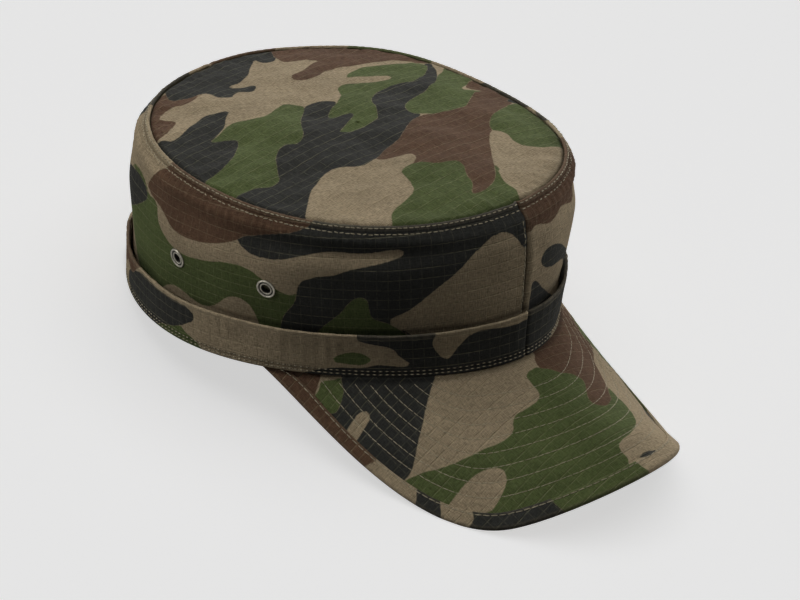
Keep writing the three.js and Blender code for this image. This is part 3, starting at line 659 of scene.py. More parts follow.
def circle_meeting(a, b, from_a, from_b):
    """The point at given distances from two others, on their left."""
    gap = np.linalg.norm(b - a)
    along = (from_a ** 2 - from_b ** 2 + gap ** 2) / (2 * gap)
    aside = math.sqrt(max(from_a ** 2 - along ** 2, 0))
    heading = (b - a) / gap
    return a + heading * along + np.array([-heading[1], heading[0]]) * aside


def flat_peak(count=301):
    """The peak's cloth laid flat: its root and edge, for shares 0 to 1."""
    share = np.linspace(0, 1, count)
    root, edge = peak_root(share), peak_edge(share)
    flat_root, flat_edge = np.zeros((count, 2)), np.zeros((count, 2))
    flat_edge[0] = (0, -np.linalg.norm(edge[0] - root[0]))
    for i in range(1, count):
        last_root, last_edge = flat_root[i - 1], flat_edge[i - 1]
        to_root = np.linalg.norm(root[i] - root[i - 1])
        flat_root[i] = circle_meeting(last_root, last_edge, to_root, np.linalg.norm(root[i] - edge[i - 1]))
        to_edge = np.linalg.norm(edge[i] - edge[i - 1])
        flat_edge[i] = circle_meeting(flat_root[i], last_edge, np.linalg.norm(edge[i] - root[i]), to_edge)
    return share, flat_root, flat_edge


FLAT_SHARE, FLAT_ROOT, FLAT_EDGE = flat_peak()


def flat_place(share, reach):
    """Where a point of the peak lies on its cloth laid flat."""
    size = np.abs(share)
    root = np.stack([np.interp(size, FLAT_SHARE, FLAT_ROOT[:, i]) for i in range(2)], -1)
    edge = np.stack([np.interp(size, FLAT_SHARE, FLAT_EDGE[:, i]) for i in range(2)], -1)
    place = root * (1 - reach[..., None]) + edge * reach[..., None]
    place[..., 0] *= np.where(share < 0, -1, 1)
    return place


def smooth_outline(corners, steps=5):
    """A closed curve through the corners, as a polygon."""
    p = np.asarray(corners, float)
    before, after, beyond = np.roll(p, 1, 0), np.roll(p, -1, 0), np.roll(p, -2, 0)
    rows = []
    for t in np.arange(steps) / steps:
        straight = 2 * p + (after - before) * t
        bent = (2 * before - 5 * p + 4 * after - beyond) * t ** 2
        rows.append((straight + bent + (3 * p - before - 3 * after + beyond) * t ** 3) / 2)
    return np.stack(rows, 1).reshape(-1, 2)


def inside_distance(places, corners):
    """How far each place lies inside an outline, up to PRINT_REACH, and below zero outside."""
    line = smooth_outline(corners)
    near = np.all((places > line.min(0) - PRINT_REACH) & (places < line.max(0) + PRINT_REACH), axis=1)
    found = np.full(len(places), -PRINT_REACH)
    point = places[near][:, None]
    start, end = line, np.roll(line, -1, 0)
    side = end - start
    share = np.clip(((point - start) * side).sum(-1) / (side ** 2).sum(-1), 0, 1)
    gap = np.linalg.norm(point - start - share[..., None] * side, axis=-1).min(1)
    spans = (start[:, 1] > point[..., 1]) != (end[:, 1] > point[..., 1])
    rise = np.where(side[:, 1] == 0, 1e-9, side[:, 1])
    crossing = start[:, 0] + (point[..., 1] - start[:, 1]) * side[:, 0] / rise
    inside = (spans & (point[..., 0] < crossing)).sum(1) % 2 == 1
    found[near] = np.clip(np.where(inside, gap, -gap), -PRINT_REACH, PRINT_REACH)
    return found


def camouflage(places, outlines):
    """For each place, how far it lies inside the green, brown and black of the print."""
    depth = np.full((len(places), len(COLOURS)), -PRINT_REACH)
    for colour, corners in outlines:
        distance = inside_distance(places, corners)
        for i, name in enumerate(COLOURS):
            if name == colour:
                depth[:, i] = np.maximum(depth[:, i], distance)
            else:
                depth[:, i] = np.minimum(depth[:, i], -distance)
    return depth


def grid_faces(rows, columns, wrap_rows, wrap_columns):
    """Quads over a grid of points, numbered row by row."""
    row = np.arange(rows if wrap_rows else rows - 1)
    column = np.arange(columns if wrap_columns else columns - 1)
    r, c = np.meshgrid(row, column, indexing="ij")
    next_r, next_c = (r + 1) % rows, (c + 1) % columns
    corners = [(r, c), (r, next_c), (next_r, next_c), (next_r, c)]
    return np.stack([row * columns + column for row, column in corners], -1).reshape(-1, 4).tolist()


def new_object(name, points, faces, material):
    """A smooth object with its points in metres."""
    mesh = bpy.data.meshes.new(name)
    mesh.from_pydata(points, [], faces)
    mesh.validate()
    mesh.materials.append(material)
    mesh.polygons.foreach_set("use_smooth", [True] * len(mesh.polygons))
    made = bpy.data.objects.new(name, mesh)
    bpy.context.scene.collection.objects.link(made)
    return made


def add_piece(name, points, faces, material):
    """A piece of the cap, from points in its own frame."""
    piece = new_object(name, to_floor(points.reshape(-1, 3)).tolist(), faces, material)
    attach(piece, "root")
    return piece


def add_attribute(piece, name, values):
    """Three values for each point, or one that fills all three."""
    values = np.asarray(values, float)
    if values.ndim == 1:
        values = np.repeat(values[:, None], 3, 1)
    attribute = piece.data.attributes.new(name, "FLOAT_VECTOR", "POINT")
    attribute.data.foreach_set("vector", values.ravel())


def add_cloth(name, points, faces, places, wear, dark, outlines, node):
    """A cloth piece that stands for a node, with its print, its place on the cloth, wear and shade."""
    piece = add_piece(name, points, faces, CAMOUFLAGE_CLOTH)
    places = places.reshape(-1, 2)
    add_attribute(piece, "camo", camouflage(places, outlines))
    add_attribute(piece, "cloth", np.concatenate([places, np.ravel(wear)[:, None]], 1))
    add_attribute(piece, "shade", np.ravel(dark))
    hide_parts(node)
    return piece


def arc(middle, radius, start, end, count):
    """Points of a circle's arc in a section, with the angles in quarter turns."""
    turn = np.linspace(start, end, count) * math.pi / 2
    return [(middle[0] + radius * math.cos(t), middle[1] + radius * math.sin(t)) for t in turn]


class Graph:
    """A short way to write a material's nodes."""

    def __init__(self, name):
        self.material = bpy.data.materials.new(name)
        self.material.use_nodes = True
        self.tree = self.material.node_tree
        self.shader = self.tree.nodes["Principled BSDF"]

    def put(self, node, socket, value):
        if isinstance(value, bpy.types.NodeSocket):
            self.tree.links.new(value, node.inputs[socket])
        elif value is not None:
            node.inputs[socket].default_value = value

    def math(self, operation, first, second=None, third=None):
        node = self.tree.nodes.new("ShaderNodeMath")
        node.operation = operation
        for i, value in enumerate((first, second, third)):
            self.put(node, i, value)
        return node.outputs[0]

    def times(self, first, *others):
        for other in others:
            first = self.math("MULTIPLY", first, other)
        return first

    def attribute(self, name):
        node = self.tree.nodes.new("ShaderNodeAttribute")
        node.attribute_name = name
        return node.outputs["Vector"]

    def split(self, vector):
        node = self.tree.nodes.new("ShaderNodeSeparateXYZ")
        self.put(node, 0, vector)
        return list(node.outputs)

    def join(self, x, y, z):
        node = self.tree.nodes.new("ShaderNodeCombineXYZ")
        for i, value in enumerate((x, y, z)):
            self.put(node, i, value)
        return node.outputs[0]

    def noise(self, vector, scale, detail=2.0, roughness=0.5):
        node = self.tree.nodes.new("ShaderNodeTexNoise")
        self.put(node, "Vector", vector)
        self.put(node, "Scale", scale)
        self.put(node, "Detail", detail)
        self.put(node, "Roughness", roughness)
        return node.outputs["Fac"]

    def remap(self, value, low, high, to_low=0.0, to_high=1.0):
        node = self.tree.nodes.new("ShaderNodeMapRange")
        for i, part in enumerate((value, low, high, to_low, to_high)):
            self.put(node, i, part)
        return node.outputs[0]

    def mix(self, share, first, second, blend="MIX"):
        node = self.tree.nodes.new("ShaderNodeMix")
        node.data_type = "RGBA"
        node.blend_type = blend
        self.put(node, "Factor", share)
        for name, value in (("A", first), ("B", second)):
            socket = next(s for s in node.inputs if s.name == name and s.type == "RGBA")
            if isinstance(value, bpy.types.NodeSocket):
                self.tree.links.new(value, socket)
            else:
                socket.default_value = value
        return next(s for s in node.outputs if s.type == "RGBA")

    def scale(self, colour, amount):
        return self.mix(1.0, colour, self.join(amount, amount, amount), "MULTIPLY")

    def bump(self, height, distance, strength=1.0):
        node = self.tree.nodes.new("ShaderNodeBump")
        self.put(node, "Height", height)
        self.put(node, "Distance", distance)
        self.put(node, "Strength", strength)
        self.put(self.shader, "Normal", node.outputs[0])

    def finish(self, **sockets):
        for name, value in sockets.items():
            self.put(self.shader, name.replace("_", " "), value)
        return self.material


def srgb(red, green, blue):
    """A screen colour, 0 to 255, as the linear colour of a socket."""
    shares = [v / 255 for v in (red, green, blue)]
    return tuple(s / 12.92 if s < 0.04045 else ((s + 0.055) / 1.055) ** 2.4 for s in shares) + (1.0,)


def grey(value):
    return (value, value, value, 1.0)


TAN = srgb(145, 130, 105)
GREEN = srgb(77, 86, 51)
BROWN = srgb(87, 66, 51)
BLACK = srgb(48, 48, 45)
RAISED_THREAD = srgb(160, 154, 122)
WORN_CLOTH = srgb(150, 138, 115)
CLOTH_BACK = srgb(120, 112, 86)
STITCH_TONES = (srgb(128, 118, 94), srgb(170, 160, 134))
# Painted shade at the stitches' ends, where the thread dives into the cloth
STITCH_END_SHADE = srgb(38, 32, 24)
METAL_TONES = (srgb(112, 108, 97), srgb(156, 151, 138))
# The eyelets' colour of grime and painted shade in the bore, the groove and under the flange
METAL_GRIME_AND_SHADE = srgb(22, 20, 17)
RIPSTOP_PITCH = 4.8
DEEPEST_SHADE = 0.22


# In the materials, a noise's numbers are its scale and detail, and a remap's are the range that it reads and
# the range that it gives
def make_cloth():
    """Printed ripstop: the four colours, a raised grid of thicker threads, a fine weave and worn edges.

    Wear above 0 bleaches the face, and wear below 0 shows the cloth's unprinted back.
    """
    g = Graph("camouflage_cloth")
    place = g.attribute("cloth")
    u, v, wear = g.split(place)
    ragged = g.remap(g.noise(place, 0.5, 2.0), 0.25, 0.75, -0.14, 0.14)
    colour = TAN
    for depth, ink in zip(g.split(g.attribute("camo")), (GREEN, BROWN, BLACK)):
        edge = g.remap(g.math("ADD", depth, ragged), -0.22, 0.22)
        colour = g.mix(edge, colour, ink)
    faded = g.remap(g.noise(place, 0.045, 3.0), 0.3, 0.7, 0.9, 1.1)
    slubs_u = g.noise(g.join(g.times(u, 0.4), g.times(v, 2.9), 0.0), 1.0, 2.0)
    slubs_v = g.noise(g.join(g.times(u, 2.9), g.times(v, 0.4), 7.0), 1.0, 2.0)
    slubs = g.math("ADD", slubs_u, slubs_v)
    weave = g.remap(slubs, 0.72, 1.28, 0.64, 1.36)
    colour = g.scale(g.scale(colour, faded), weave)
    half = RIPSTOP_PITCH / 2
    warp = g.remap(g.math("PINGPONG", u, half), 0.1, 0.34, 0.5, 0.0)
    weft = g.remap(g.math("PINGPONG", v, half), 0.1, 0.34, 1.25, 0.0)
    broken = g.remap(g.noise(place, 0.35, 2.0), 0.3, 0.65, 0.2, 1.0)
    line = g.join(g.times(u, 0.03), g.times(v, 0.9), 3.0)
    uneven = g.remap(g.noise(line, 1.0, 1.0), 0.3, 0.7, 0.35, 1.65)
    thread = g.times(g.math("MAXIMUM", warp, weft), broken, uneven)
    colour = g.scale(colour, g.remap(thread, 0.0, 1.6, 1.0, 1.26))
    colour = g.mix(g.times(thread, 0.15), colour, RAISED_THREAD)
    worn = g.times(g.math("MAXIMUM", wear, 0.0), g.remap(g.noise(place, 0.5, 3.0), 0.3, 0.7, 0.35, 1.0))
    colour = g.mix(g.times(worn, 0.3), colour, WORN_CLOTH)
    back = g.times(g.math("MAXIMUM", g.times(wear, -1.0), 0.0), 0.62)
    colour = g.mix(back, colour, CLOTH_BACK)
    # Painted shade: the shade attribute darkens the colour down to DEEPEST_SHADE
    colour = g.scale(colour, g.remap(g.split(g.attribute("shade"))[0], 0.0, 1.0, 1.0, DEEPEST_SHADE))
    g.bump(g.math("ADD", g.times(thread, 0.55), g.times(slubs, 0.6)), 0.0004)
    return g.finish(Base_Color=colour, Roughness=0.95, Specular_IOR_Level=0.06)


def make_thread():
    g = Graph("sewing_thread")
    texture = g.tree.nodes.new("ShaderNodeTexCoord").outputs["Object"]
    tone = g.remap(g.noise(texture, 900.0, 2.0), 0.3, 0.7)
    colour = g.mix(tone, *STITCH_TONES)
    # Painted shade: each stitch darkens towards its ends, where the thread dives into the cloth
    end = g.remap(g.split(g.attribute("stitch"))[0], 0.55, 1.0, 0.0, 0.85)
    colour = g.mix(end, colour, STITCH_END_SHADE)
    g.bump(g.noise(texture, 4000.0, 1.0), 0.00008, 0.6)
    return g.finish(Base_Color=colour, Roughness=0.75, Specular_IOR_Level=0.3)


def make_metal():
    g = Graph("eyelet_metal")
    texture = g.tree.nodes.new("ShaderNodeTexCoord").outputs["Object"]
    tone = g.remap(g.noise(texture, 700.0, 4.0), 0.3, 0.7)
    colour = g.mix(tone, *METAL_TONES)
    # Grime and painted shade darken the bore, the groove and the flange's underside, and make them not
    # metallic
    grime_and_shade = g.split(g.attribute("grime_and_shade"))[0]
    colour = g.mix(grime_and_shade, colour, METAL_GRIME_AND_SHADE)
    g.bump(g.noise(texture, 1500.0, 3.0), 0.00005, 0.5)
    clean = g.math("SUBTRACT", 1.0, grime_and_shade)
    rough = g.math("MULTIPLY_ADD", grime_and_shade, 0.4, g.remap(tone, 0.0, 1.0, 0.42, 0.28))
    return g.finish(Base_Color=colour, Metallic=clean, Roughness=rough, Specular_IOR_Level=0.2)


CAMOUFLAGE_CLOTH = make_cloth()
SEWING_THREAD = make_thread()
EYELET_METAL = make_metal()


# Crown top: a domed sheet with soft folds, that dips to the seam
CENTRE = np.array(CROWN["middle"])
# Rows of (rise, length, seed, fade): the top's soft waves, in mm, and how far from the rim they set in
TOP_WAVES = [(0.55, 38.0, 41, 15), (0.24, 13.0, 42, 6)]
# The painted shade at the top's front rim and on the wall over the band: how dark, and how wide in mm
RIM_SHADE = 0.25
RIM_SHADE_WIDTH = 9
BAND_SHADE = 0.26
BAND_SHADE_WIDTH = 16


def top_point(angle, ring, depth=0.0):
    """The top's upper face, or a depth below it, for a ring from the middle (0) to the rim (1)."""
    rim = wall_line(angle, np.ones_like(angle), wall_offset(angle, np.ones_like(angle)) - CLOTH - CLEARANCE)
    flat = CENTRE + (rim[..., :2] - CENTRE) * ring[..., None]
    reach = np.linalg.norm(rim[..., :2] - CENTRE, axis=-1)
    across = (flat[..., 0] - CENTRE[0]) / (CROWN["width"] / 2)
    along = (flat[..., 1] - CENTRE[1]) / (CROWN["length"] / 2)
    fold = sum(
        rise * hump((across - a) / width) * hump((along - b) / width) for a, b, width, rise in TOP_FOLDS
    )
    dome = TOP_DOME * (1 - ring ** 2.5) * (1 + fold)
    to_rim = reach * (1 - ring)
    soft = sum(
        rise * waves(flat[..., 0], flat[..., 1], length, seed) * smooth(to_rim / fade)
        for rise, length, seed, fade in TOP_WAVES
    )
    way = np.interp(np.mod(angle, TURN), TURN_STEPS, WAY_STEPS)
    pucker = 0.4 * waves(way, to_rim * 0.15, 8.0, 43) * hump((to_rim - 4) / 6)
    rolled = 0.6 * smooth(to_rim / 1.9) * hump(to_rim / 5) - 0.3 * hump(to_rim / 0.7)
    height = seam_plane(flat[..., 1]) - seam_sag(angle) * ring ** 2 + dome + soft + pucker + rolled - depth
    return np.concatenate([flat, height[..., None]], -1)


def make_top():
    """The top's cloth, from rings out over its face and back under it."""
    upper = np.concatenate([np.linspace(0.004, 0.955, 52), np.linspace(0.965, 1.0, 6)])
    under = np.linspace(1.0, 0.004, 16)
    rings = np.concatenate([upper, under])
    depth = np.concatenate([np.zeros(len(upper)), np.full(len(under), CLOTH)])
    angle, ring = np.meshgrid(np.linspace(0, TURN, TOP_COLUMNS, endpoint=False), rings)
    points = top_point(angle, ring, depth[:, None])
    wear = np.where(depth[:, None] > 0, -1.0, 0.0) + 0 * ring
    faces = grid_faces(len(rings), TOP_COLUMNS, False, True)
    faces.append(list(range(TOP_COLUMNS)))
    faces.append(list(range(len(rings) * TOP_COLUMNS - 1, (len(rings) - 1) * TOP_COLUMNS - 1, -1)))
    to_rim = (1 - ring) * CROWN["width"] / 2
    at_front = smooth(1.5 * np.cos(angle))
    # Painted shade: a dark line at the seam round the rim, and a wider shade at the front rim
    dark = 0.5 * hump(to_rim / 1.0) + RIM_SHADE * smooth(1 - to_rim / RIM_SHADE_WIDTH) * at_front
    add_cloth("crown_top_cloth", points, faces, points[..., :2], wear, dark, TOP_PRINT, "crown_top")


def half_ways(side, count):
    """The way round of one half's columns: the wearer's right (1) or left (-1)."""
    start = 0.01
    ways = np.linspace(start, WAY_ROUND / 2 - start, count)
    fine = np.array([0.35, 0.6, 0.9, 1.2])
    ways = np.sort(np.concatenate([ways, start + fine, WAY_ROUND / 2 - start - fine]))
    return ways if side > 0 else WAY_ROUND - ways


def end_caps(rows, columns):
    """Faces that close a strip's section at its two ends."""
    first = [row * columns for row in range(rows)]
    last = [row * columns + columns - 1 for row in range(rows - 1, -1, -1)]
    return [first, last]


def strip_faces(rows, columns):
    """The faces of a strip whose rows go round its section, with both ends closed."""
    return grid_faces(len(rows), len(columns), True, False) + end_caps(len(rows), len(columns))


def cloth_places(side, way, height):
    """Places on the cloth: the way from the front seam, below zero on the wearer's left, and the height."""
    return np.stack([way if side > 0 else way - WAY_ROUND, height], -1)


EYELET_HOLE = 3.1


def make_wall(side, node, outlines):
    """One half of the crown's wall, from rows of (height, depth, rise, wear) round its section."""
    ways = half_ways(side, WALL_COLUMNS)
    full = seam_height(angle_at(ways))
    low = CLOTH + CLEARANCE
    shares = np.concatenate([np.linspace(0, 0.93, 42), np.linspace(0.943, 1.0, 8)])
    rows = [(low + share * (full - low), 0.0, 0.0, 0.0) for share in shares]
    rows += [(full, ROLL - x, z + 0.1, 0.6) for x, z in arc((0, 0), ROLL, 0.1, 1.9, 8)]
    rows += [(low + share * (full - low), CLOTH, 0.0, -1.0) for share in np.linspace(1, 0, 16)]
    height = np.array([row[0] for row in rows])
    depth, rise, wear = [np.array([np.full(len(ways), row[i]) for row in rows]) for i in (1, 2, 3)]
    below = full - height
    wear = np.where((wear == 0) & (below < 1.0), 0.45, wear)
    way = np.broadcast_to(ways, height.shape)
    gap, back_gap = seam_gaps(way)
    if side < 0:
        wear = np.where(wear >= 0, np.maximum(wear, 0.9 * hump((gap - 0.7) / 0.5)), wear)
    # Painted shade: dark lines in the grooves under the top seam and along the front and back seams, a line
    # just above the band's top and a wider shade over the band
    dark = 0.7 * hump((below - 1.1) / 0.5) + 0.3 * hump((below - 3.2) / 0.6)
    dark = dark + 0.8 * hump(gap / 0.5) + 0.8 * hump(back_gap / 0.5)
    dark = dark + 0.5 * hump((height - BAND_HEIGHT - 0.2) / 1.2)
    dark = dark + BAND_SHADE * smooth(1 - (height - BAND_HEIGHT) / BAND_SHADE_WIDTH)
    dark = np.where(depth > ROLL, 0, np.minimum(dark, 1))
    points = wall_point(way, height, depth, rise).reshape(-1, 3)
    places = cloth_places(side, way, height + rise)
    faces = grid_faces(len(rows), len(ways), True, False)
    for hole, _ in EYELETS.values():
        reach = np.linalg.norm(points[np.array(faces)].mean(1) - hole, axis=1)
        faces = [face for face, distance in zip(faces, reach) if distance > EYELET_HOLE]
    faces += end_caps(len(rows), len(ways))
    add_cloth(node + "_cloth", points, faces, places, wear, dark, outlines, node)


def make_band(side, node, outlines):
    """One half of the fold-up band, from rows of (height, depth, wear) round its section."""
    ways = half_ways(side, BAND_COLUMNS)
    top, low = BAND_HEIGHT - ROLL, CLOTH + CLEARANCE
    rows = [(z, 0.0, 0.0) for z in np.linspace(ROLL, 4.8, 8)]
    rows += [(z, 0.0, 0.0) for z in np.linspace(5.8, top - 2, 9)]
    rows += [(z, 0.0, 0.5) for z in np.linspace(top - 1.4, top, 4)]
    rows += [(top + z, ROLL - x, 1.0) for x, z in arc((0, 0), ROLL, 0.2, 1.8, 8)]
    rows += [(z, CLOTH, -0.3) for z in np.linspace(top, low, 8)]
    rows += [(CLOTH, depth, -0.3) for depth in np.linspace(CLOTH + 0.6, HEM_DEPTH - 0.5, 3)]
    rows += [(0.0, depth, 0.0) for depth in np.linspace(HEM_DEPTH - 0.3, ROLL, 4)]
    rows += [(ROLL + z, ROLL - x, 0.2) for x, z in arc((0, 0), ROLL, -0.8, -0.2, 4)]
    height, depth, wear = [np.repeat(np.array(column)[:, None], len(ways), 1) for column in zip(*rows)]
    way = np.broadcast_to(ways, height.shape)
    points = band_point(way, height, depth)
    places = cloth_places(side, way, np.where(height <= 0, -depth, height))
    faces = strip_faces(rows, ways)
    gap = np.minimum(*seam_gaps(way))
    # Painted shade along the seams, in the groove near the hem and at the lower edge
    dark = 0.8 * hump(gap / 0.5) + 0.45 * hump((height - 2.3) / 0.5) + 0.6 * hump((height - 0.2) / 0.7)
    dark = np.where(depth > ROLL, 0, np.minimum(dark, 1))
    add_cloth(node + "_cloth", points, faces, places, wear, dark, outlines, node)


def narrowed(inward, width):
    """A distance from the peak's edge, drawn in where the peak is narrow."""
    return inward * np.minimum(1, 0.9 * width / (BINDING_WIDTH + 1))


def make_peak():
    """The peak's cloth, from rows of distances from its root: out over it, and back below it."""
    share = peak_columns(PEAK_COLUMNS, PEAK_END)
    width = peak_width(share)
    edge = narrowed(PEAK_INSET, width)
    rows, sides = [], []
    for parts, side in ((np.linspace(0, 1, 64), 1), (np.linspace(1, 0, 40), -1)):
        for part in parts:
            rows.append(-PEAK_TUCK * smooth(width / 20) * (1 - part) + part * (width - edge))
            sides.append(side)
    from_root, side = np.array(rows), np.array(sides)[:, None]
    shares = np.broadcast_to(share, from_root.shape)
    points = peak_face(shares, width - from_root, side)
    places = flat_place(shares, from_root / width)
    places[..., 0] *= side
    faces = strip_faces(rows, share)
    wear = np.zeros(from_root.shape)
    # Painted shade where the peak goes in under the band
    dark = 0.7 * hump(from_root / 1.2)
    add_cloth("peak_cloth", points, faces, places, wear, dark, PEAK_PRINT, "peak")


def make_binding():
    """The cloth round the peak's edge, from rows of (distance inward, lift over the peak's face, side).

    The rows round the edge itself have no lift, and their side goes from 1 to -1.
    """
    share = peak_columns(BINDING_COLUMNS, BINDING_END)
    width = peak_width(share)
    thin = thinning(share)
    section = [(BINDING_WIDTH - 0.02, 0.02), (BINDING_WIDTH, 0.45), (BINDING_WIDTH - 0.3, 0.8)]
    section += [(d, BINDING_THICKNESS) for d in np.linspace(BINDING_WIDTH - 0.9, 1.9, 9)]
    bend = np.linspace(0, 1, 9)[1:-1] * math.pi
    inner = [(BINDING_WIDTH - 1.5, -BINDING_SINK), (2.6, -BINDING_SINK)]
    rows = [(d, h, 1) for d, h in section]
    rows += [(1.75 * (1 - math.sin(t)), None, math.cos(t)) for t in bend]
    rows += [(d, h, -1) for d, h in reversed(section)]
    rows += [(d, h, -1) for d, h in inner] + [(d, h, 1) for d, h in reversed(inner)]
    points, places, wear = [], [], []
    for inward, lift, side in rows:
        d = narrowed(inward, width)
        reach = 1 - d / width
        if lift is None:
            high = (PEAK_EDGE_THICKNESS / 2 + BINDING_THICKNESS) * side * thin
            normal = peak_normal(share, np.clip(reach, 0, 0.97))
            points.append(peak_middle(share, reach) + normal * high[:, None])
            wear.append(np.full(len(share), 0.5))
        else:
            to_row = inward - BINDING_ROW_DISTANCE
            pucker = 0.12 * waves(share * OUTLINE_LENGTH, 0.0, 5.0, 51) * hump(to_row / 1.5)
            points.append(peak_face(share, d, side, (lift + pucker - 0.3 * hump(to_row / 0.7)) * thin))
            wear.append(np.full(len(share), 0.35 * float(inward > BINDING_WIDTH - 1)))
        place = flat_place(share, reach)
        place[..., 0] *= 1 if side >= 0 else -1
        places.append(place)
    points, places, wear = np.array(points), np.array(places), np.array(wear)
    faces = strip_faces(rows, share)
    add_cloth("peak_binding_cloth", points, faces, places, wear, 0 * wear, BINDING_PRINT, "peak_binding")


def capsule(rings=5, sides=6):
    """One stitch of unit size: points (along, across, up) and faces."""
    along = -np.cos(np.linspace(0.12, 0.88, rings) * math.pi)
    radius = np.sin(np.linspace(0.12, 0.88, rings) * math.pi) ** 0.6
    turn = np.arange(sides) * TURN / sides
    x = np.repeat(along, sides)
    y = np.outer(radius, np.cos(turn)).ravel()
    z = np.outer(radius, np.sin(turn)).ravel()
    faces = grid_faces(rings, sides, False, True)
    faces.append(list(range(sides - 1, -1, -1)))
    faces.append(list(range((rings - 1) * sides, rings * sides)))
    return np.stack([x, y, z], -1) / 2, faces


def add_stitches(name, line, pitch=STITCH_PITCH, size=STITCH, end_shade=0.0, up=0.1):
    """A row of stitches along a line, which is a surface(way, aside) that gives points, and its full length.

    End shade above 0 darkens each stitch's ends with more painted shade, where the thread dives into the
    cloth, and one below 0 gives them less.
    """
    surface, length = line
    count = int(length / pitch)
    way = (np.arange(count) + 0.5) * length / count
    random = np.random.default_rng(len(name) + count)
    way = way + random.uniform(-STITCH_SHIFT, STITCH_SHIFT, count)
    middle = surface(way, 0.0)
    along = unit(surface(way + 0.4, 0.0) - surface(way - 0.4, 0.0))
    aside = surface(way, 0.25) - surface(way, -0.25)
    normal = unit(np.cross(along, aside))
    across = np.cross(normal, along)
    unit_points, unit_faces = capsule()
    scaled = unit_points * np.array(size)
    yaw = random.uniform(-STITCH_YAW, STITCH_YAW, count)[:, None, None]
    x, y, z = scaled[:, 0][:, None], scaled[:, 1][:, None], scaled[:, 2][:, None]
    points = middle[:, None] + along[:, None] * x + across[:, None] * (y + x * yaw)
    points = points + normal[:, None] * (z + up)
    step = len(unit_points)
    faces = [[index + step * i for index in face] for i in range(count) for face in unit_faces]
    piece = add_piece(name, points, faces, SEWING_THREAD)
    add_attribute(piece, "stitch", np.tile(2 * np.abs(unit_points[:, 0]), count) + end_shade)
    return piece


def top_seam_row(drop):
    """A line round the wall, a drop below the top seam."""
    def surface(way, aside):
        way = np.mod(way, WAY_ROUND)
        return wall_point(way, seam_height(angle_at(way)) - drop - aside)

    return surface, WAY_ROUND


def hem_row(height):
    """A line round the band."""
    def surface(way, aside):
        return band_point(np.mod(way, WAY_ROUND), height - aside + 0 * way)

    return surface, WAY_ROUND


def upright_row(place, top):
    """A line up the wall from just inside the band's top, beside a seam."""
    start = BAND_HEIGHT - 2

    def surface(way, aside):
        return wall_point(place + aside + 0 * way, start + way)

    return surface, top - start


def make_seam_stitches():
    add_stitches("crown_seam_stitches_upper", top_seam_row(-UPPER_SEAM_RISE))
    add_stitches("crown_seam_stitches_lower", top_seam_row(LOWER_SEAM_DROP), size=LOWER_SEAM_STITCH)
    # The hem rows' stitches get more painted shade at their ends
    for place, height in zip(("upper", "lower"), HEM_ROWS):
        add_stitches(f"band_hem_stitches_{place}", hem_row(height), size=HEM_STITCH, end_shade=0.35)
    add_stitches("front_seam_stitches", upright_row(UPRIGHT_ROW_GAP, FRONT_HEIGHT - 5))
    add_stitches("back_seam_stitches", upright_row(WAY_ROUND / 2 - UPRIGHT_ROW_GAP, BACK_HEIGHT - 5))


def peak_row(inward, lift=0.0):
    """The line along the peak at one distance from its edge, where the peak is wide enough."""
    def at_share(share, aside=0.0):
        distance = narrowed(inward, peak_width(share)) if inward < BINDING_WIDTH else inward + 0 * share
        return peak_face(share, distance + aside, 1, lift)

    share = np.linspace(-PEAK_END, PEAK_END, 1201)
    fits = share[peak_width(share) > inward + 1.5]
    share = np.linspace(fits.min(), fits.max(), 800)
    way = way_along(at_share(share))

    def surface(at, aside):
        return at_share(np.interp(at, way, share), aside)

    return surface, way[-1]


def make_peak_stitches():
    line = peak_row(BINDING_ROW_DISTANCE, 0.72)
    add_stitches("peak_binding_stitches", line, pitch=3.4, size=BINDING_STITCH, end_shade=-0.2)
    for i, inward in enumerate(PEAK_ROW_DISTANCES):
        add_stitches(f"peak_stitches_{i + 1}", peak_row(inward), pitch=2.8, size=PEAK_STITCH, end_shade=-0.35)


# Eyelets: a rolled flange on the cloth, a barrel through it and a washer inside
EYELET_HEIGHT = 39.5
FLANGE_RADIUS = 4.4
BORE_RADIUS = 2.1
# Rows of (radius, height, grime and painted shade): the barrel's inside and lip, a groove, the flange's rim
# and underside, and a washer
EYELET_PROFILE = [
    (BORE_RADIUS, -CLOTH - 0.5, 1.0), (BORE_RADIUS, -0.3, 1.0), (BORE_RADIUS + 0.02, 0.1, 0.9),
    (2.25, 0.42, 0.1), (2.5, 0.55, 0.0), (2.72, 0.42, 0.2), (2.95, 0.2, 1.0), (3.3, 0.2, 1.0),
    (3.55, 0.5, 0.2), (3.8, 0.75, 0.0), (4.05, 0.75, 0.0), (4.28, 0.45, 0.0), (FLANGE_RADIUS, 0.1, 0.2),
    (FLANGE_RADIUS - 0.1, -0.15, 1.0), (3.2, -0.2, 1.0), (2.35, -0.2, 1.0), (2.35, -CLOTH - 0.1, 1.0),
    (3.8, -CLOTH - 0.15, 0.3), (3.9, -CLOTH - 0.4, 0.0), (2.6, -CLOTH - 0.7, 0.3),
]
EYELET_NODES = ["eyelet_right_front", "eyelet_right_back", "eyelet_left_front", "eyelet_left_back"]


def from_floor(points):
    """Back from metres on the floor to the cap's own frame, in mm."""
    moved = np.asarray(points, float) / MM - RESTING_PLACE
    x, y, z = np.moveaxis(moved, -1, 0)
    cos, sin = math.cos(RESTING_TILT), math.sin(RESTING_TILT)
    return np.stack([x, y * cos + z * sin, -y * sin + z * cos], -1)


